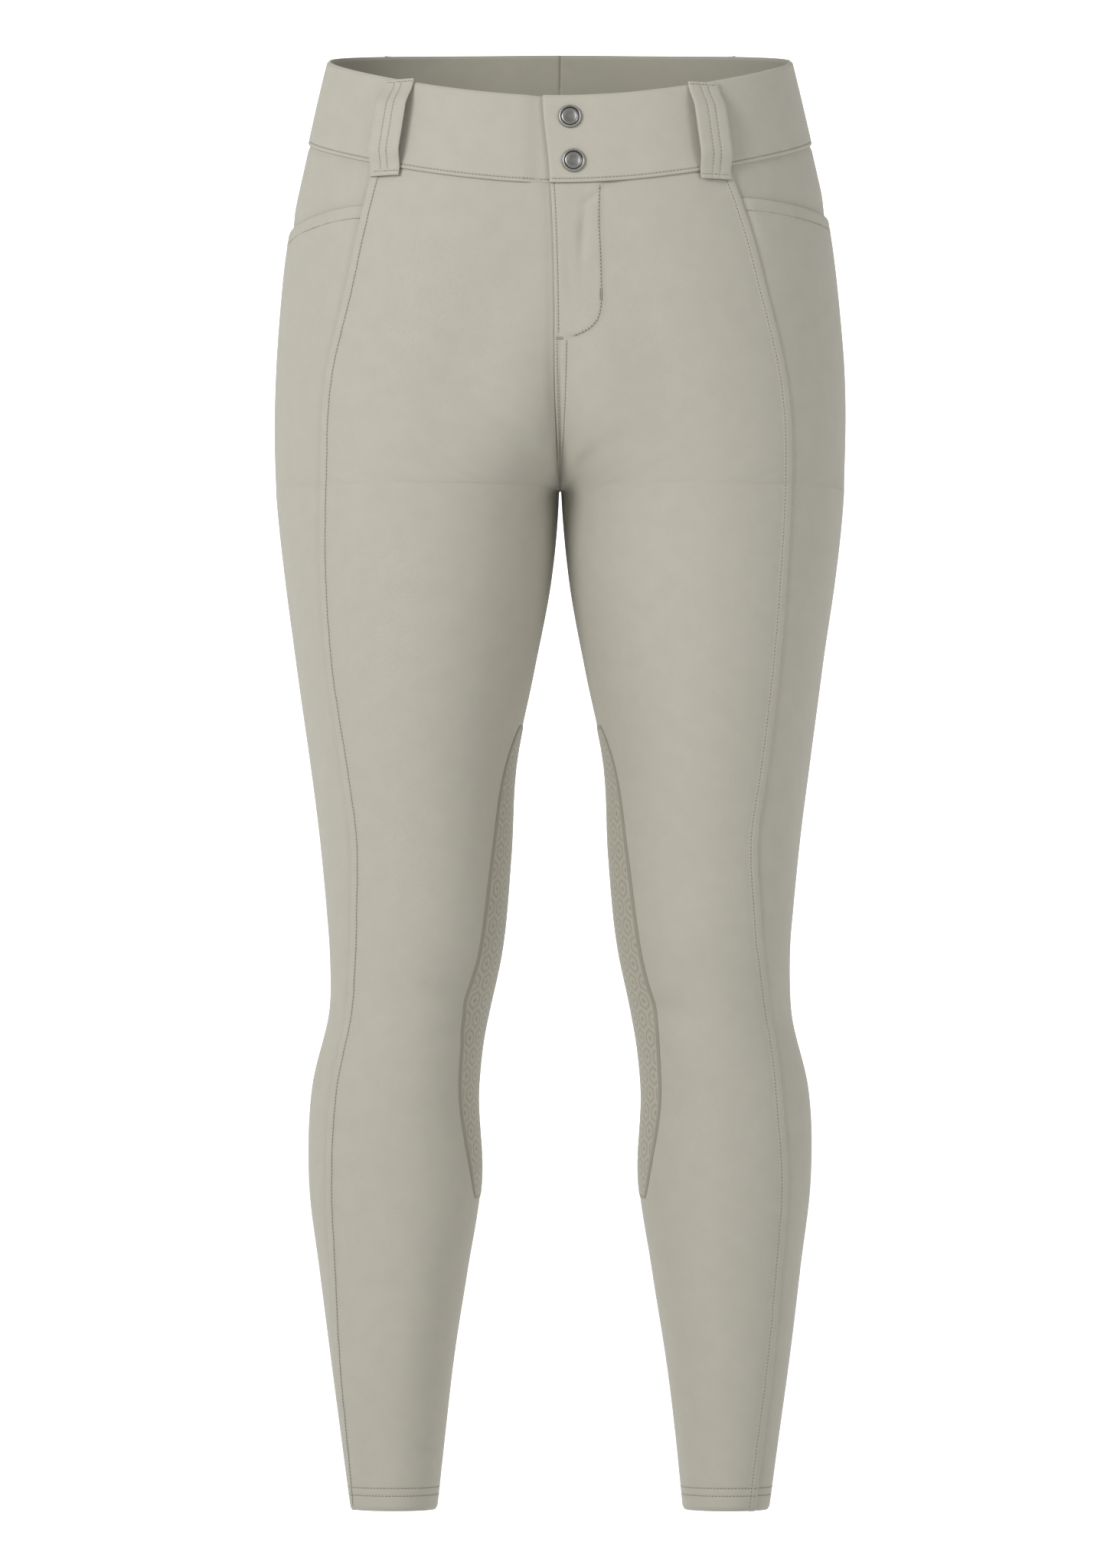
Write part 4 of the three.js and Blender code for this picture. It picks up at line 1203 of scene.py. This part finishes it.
def six_sided(x, y):
    """Distance from the nearest centre of a staggered grid, measured as a hexagon's inner radius."""
    step = CELL * np.sqrt(3) / 2
    nearest = np.full(x.shape, 1e3)
    for shift in (0, 1):
        line = 2 * np.round((y / step - shift) / 2) + shift
        middle = CELL * (np.round(x / CELL - shift / 2) + shift / 2)
        dx, dy = np.abs(x - middle), np.abs(y - line * step)
        nearest = np.minimum(nearest, np.maximum(dx, dx / 2 + dy * np.sqrt(3) / 2))
    return nearest


for word, side in SIDES:
    middle, half = (GRIP["top"] + GRIP["bottom"]) / 2, (GRIP["top"] - GRIP["bottom"]) / 2
    v = np.concatenate([[1, 0.996, 0.988], np.linspace(0.98, -0.98, 270), [-0.988, -0.996, -1]])[:, None]
    u = np.concatenate([[-1, -0.985], np.linspace(-0.965, 0.965, 70), [0.985, 1]])[None, :]
    distance = GRIP["centre"] + u * grip_half_width(v)
    z = middle + half * v + 0 * u
    rim = np.minimum((1 - np.abs(u)) * grip_half_width(v), (1 - np.abs(v)) * half)
    ring = six_sided(distance - GRIP["centre"], z - middle)
    border = 1 - smooth_step(2.4, 3.3, rim)
    rings = np.maximum(ridge(ring - 4.9, 0.75), 1 - smooth_step(1.1, 1.9, ring))
    mark = np.maximum(border, rings * smooth_step(3.2, 4.2, rim))
    lift = GRIP_LIFT - 0.12 * mark - 0.3 * (1 - smooth_step(0, 1.5, rim))
    outer, _ = cloth_point(side, distance, z, lift)
    inner, _ = cloth_point(side, distance, z, 0.1 + 0 * z)
    points, faces = shell(outer, inner)
    flat = np.stack([side * distance, z], -1).reshape(-1, 2)
    piece = make_mesh(
        f"grip_print_{word}", points, faces, rubber,
        np.concatenate([flat, flat]), side < 0, {"print": np.tile(mark.ravel(), 2)},
    )
    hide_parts(f"knee_grip_{word}")


# Stage: a pale floor that curves up behind and glows there with painted light, standing in for a lit
# paper backdrop and washing out the garment's cast shadow; a camera at the photograph's height and
# angle, a large soft light from the front left and a weaker one opposite
white = bpy.data.materials.new("pale_floor")
white.use_nodes = True
tree = white.node_tree
shader = tree.nodes["Principled BSDF"]
shader.inputs["Base Color"].default_value = (0.72, 0.72, 0.72, 1)
shader.inputs["Roughness"].default_value = 0.9
shader.inputs["Emission Color"].default_value = (1, 1, 1, 1)
place = tree.nodes.new("ShaderNodeTexCoord")
parts = tree.nodes.new("ShaderNodeSeparateXYZ")
tree.links.new(place.outputs["Object"], parts.inputs["Vector"])
# Painted light: the floor glows from just behind the hems onwards, so the garment's cast shadow there
# turns white.
glow = tree.nodes.new("ShaderNodeMapRange")
glow.inputs["From Min"].default_value = -0.01
glow.inputs["From Max"].default_value = 0.035
glow.inputs["To Max"].default_value = 0.85
tree.links.new(parts.outputs["Y"], glow.inputs["Value"])
tree.links.new(glow.outputs["Result"], shader.inputs["Emission Strength"])
FLOOR = -0.962
turn = np.linspace(0, np.pi / 2, 24)
path = np.concatenate(
    [
        [[-9.0, FLOOR], [0.0, FLOOR]],
        np.stack([8 + np.sin(turn), FLOOR + 1 - np.cos(turn)], -1),
        [[9.0, FLOOR + 6]],
    ]
)
half_width = np.where(path[:, 0] > 0, 6.0, 14.0)
grid = np.empty((len(path), 3, 3))
grid[..., 0] = half_width[:, None] * [-1, 0, 1]
grid[..., 1:] = path[:, None]
index = np.arange(grid[..., 0].size).reshape(grid.shape[:2])
quads = np.stack([index[:-1, :-1], index[:-1, 1:], index[1:, 1:], index[1:, :-1]], -1)
mesh = bpy.data.meshes.new("floor")
mesh.from_pydata(grid.reshape(-1, 3).tolist(), [], quads.reshape(-1, 4).tolist())
mesh.polygons.foreach_set("use_smooth", np.full(len(mesh.polygons), True))
mesh.materials.append(white)
floor = bpy.data.objects.new("floor", mesh)
bpy.context.scene.collection.objects.link(floor)

world = bpy.data.worlds.new("studio")
world.use_nodes = True
world.node_tree.nodes["Background"].inputs["Color"].default_value = (1, 1, 1, 1)
world.node_tree.nodes["Background"].inputs["Strength"].default_value = 0.458
bpy.context.scene.world = world


def soft_light(name, place, aim, size, watts):
    lamp = bpy.data.lights.new(name, "AREA")
    lamp.shape = "DISK"
    lamp.size = size
    lamp.energy = watts
    thing = bpy.data.objects.new(name, lamp)
    thing.location = place
    thing.rotation_euler = (Vector(aim) - Vector(place)).to_track_quat("-Z", "Y").to_euler()
    bpy.context.scene.collection.objects.link(thing)


soft_light("key", (-2.0, -2.4, 0.9), (0, 0, -0.3), 1.4, 58)
soft_light("fill", (2.4, -2.8, 0.2), (0, 0, -0.45), 1.6, 24)

camera = bpy.data.cameras.new("camera")
camera.sensor_width = 36
camera.lens = 123.05
camera.clip_end = 50
eye = bpy.data.objects.new("camera", camera)
eye.location = (0, -3.5, -0.445)
eye.rotation_euler = (np.pi / 2, 0, 0)
bpy.context.scene.collection.objects.link(eye)
bpy.context.scene.camera = eye
bpy.context.scene.view_settings.view_transform = "Standard"
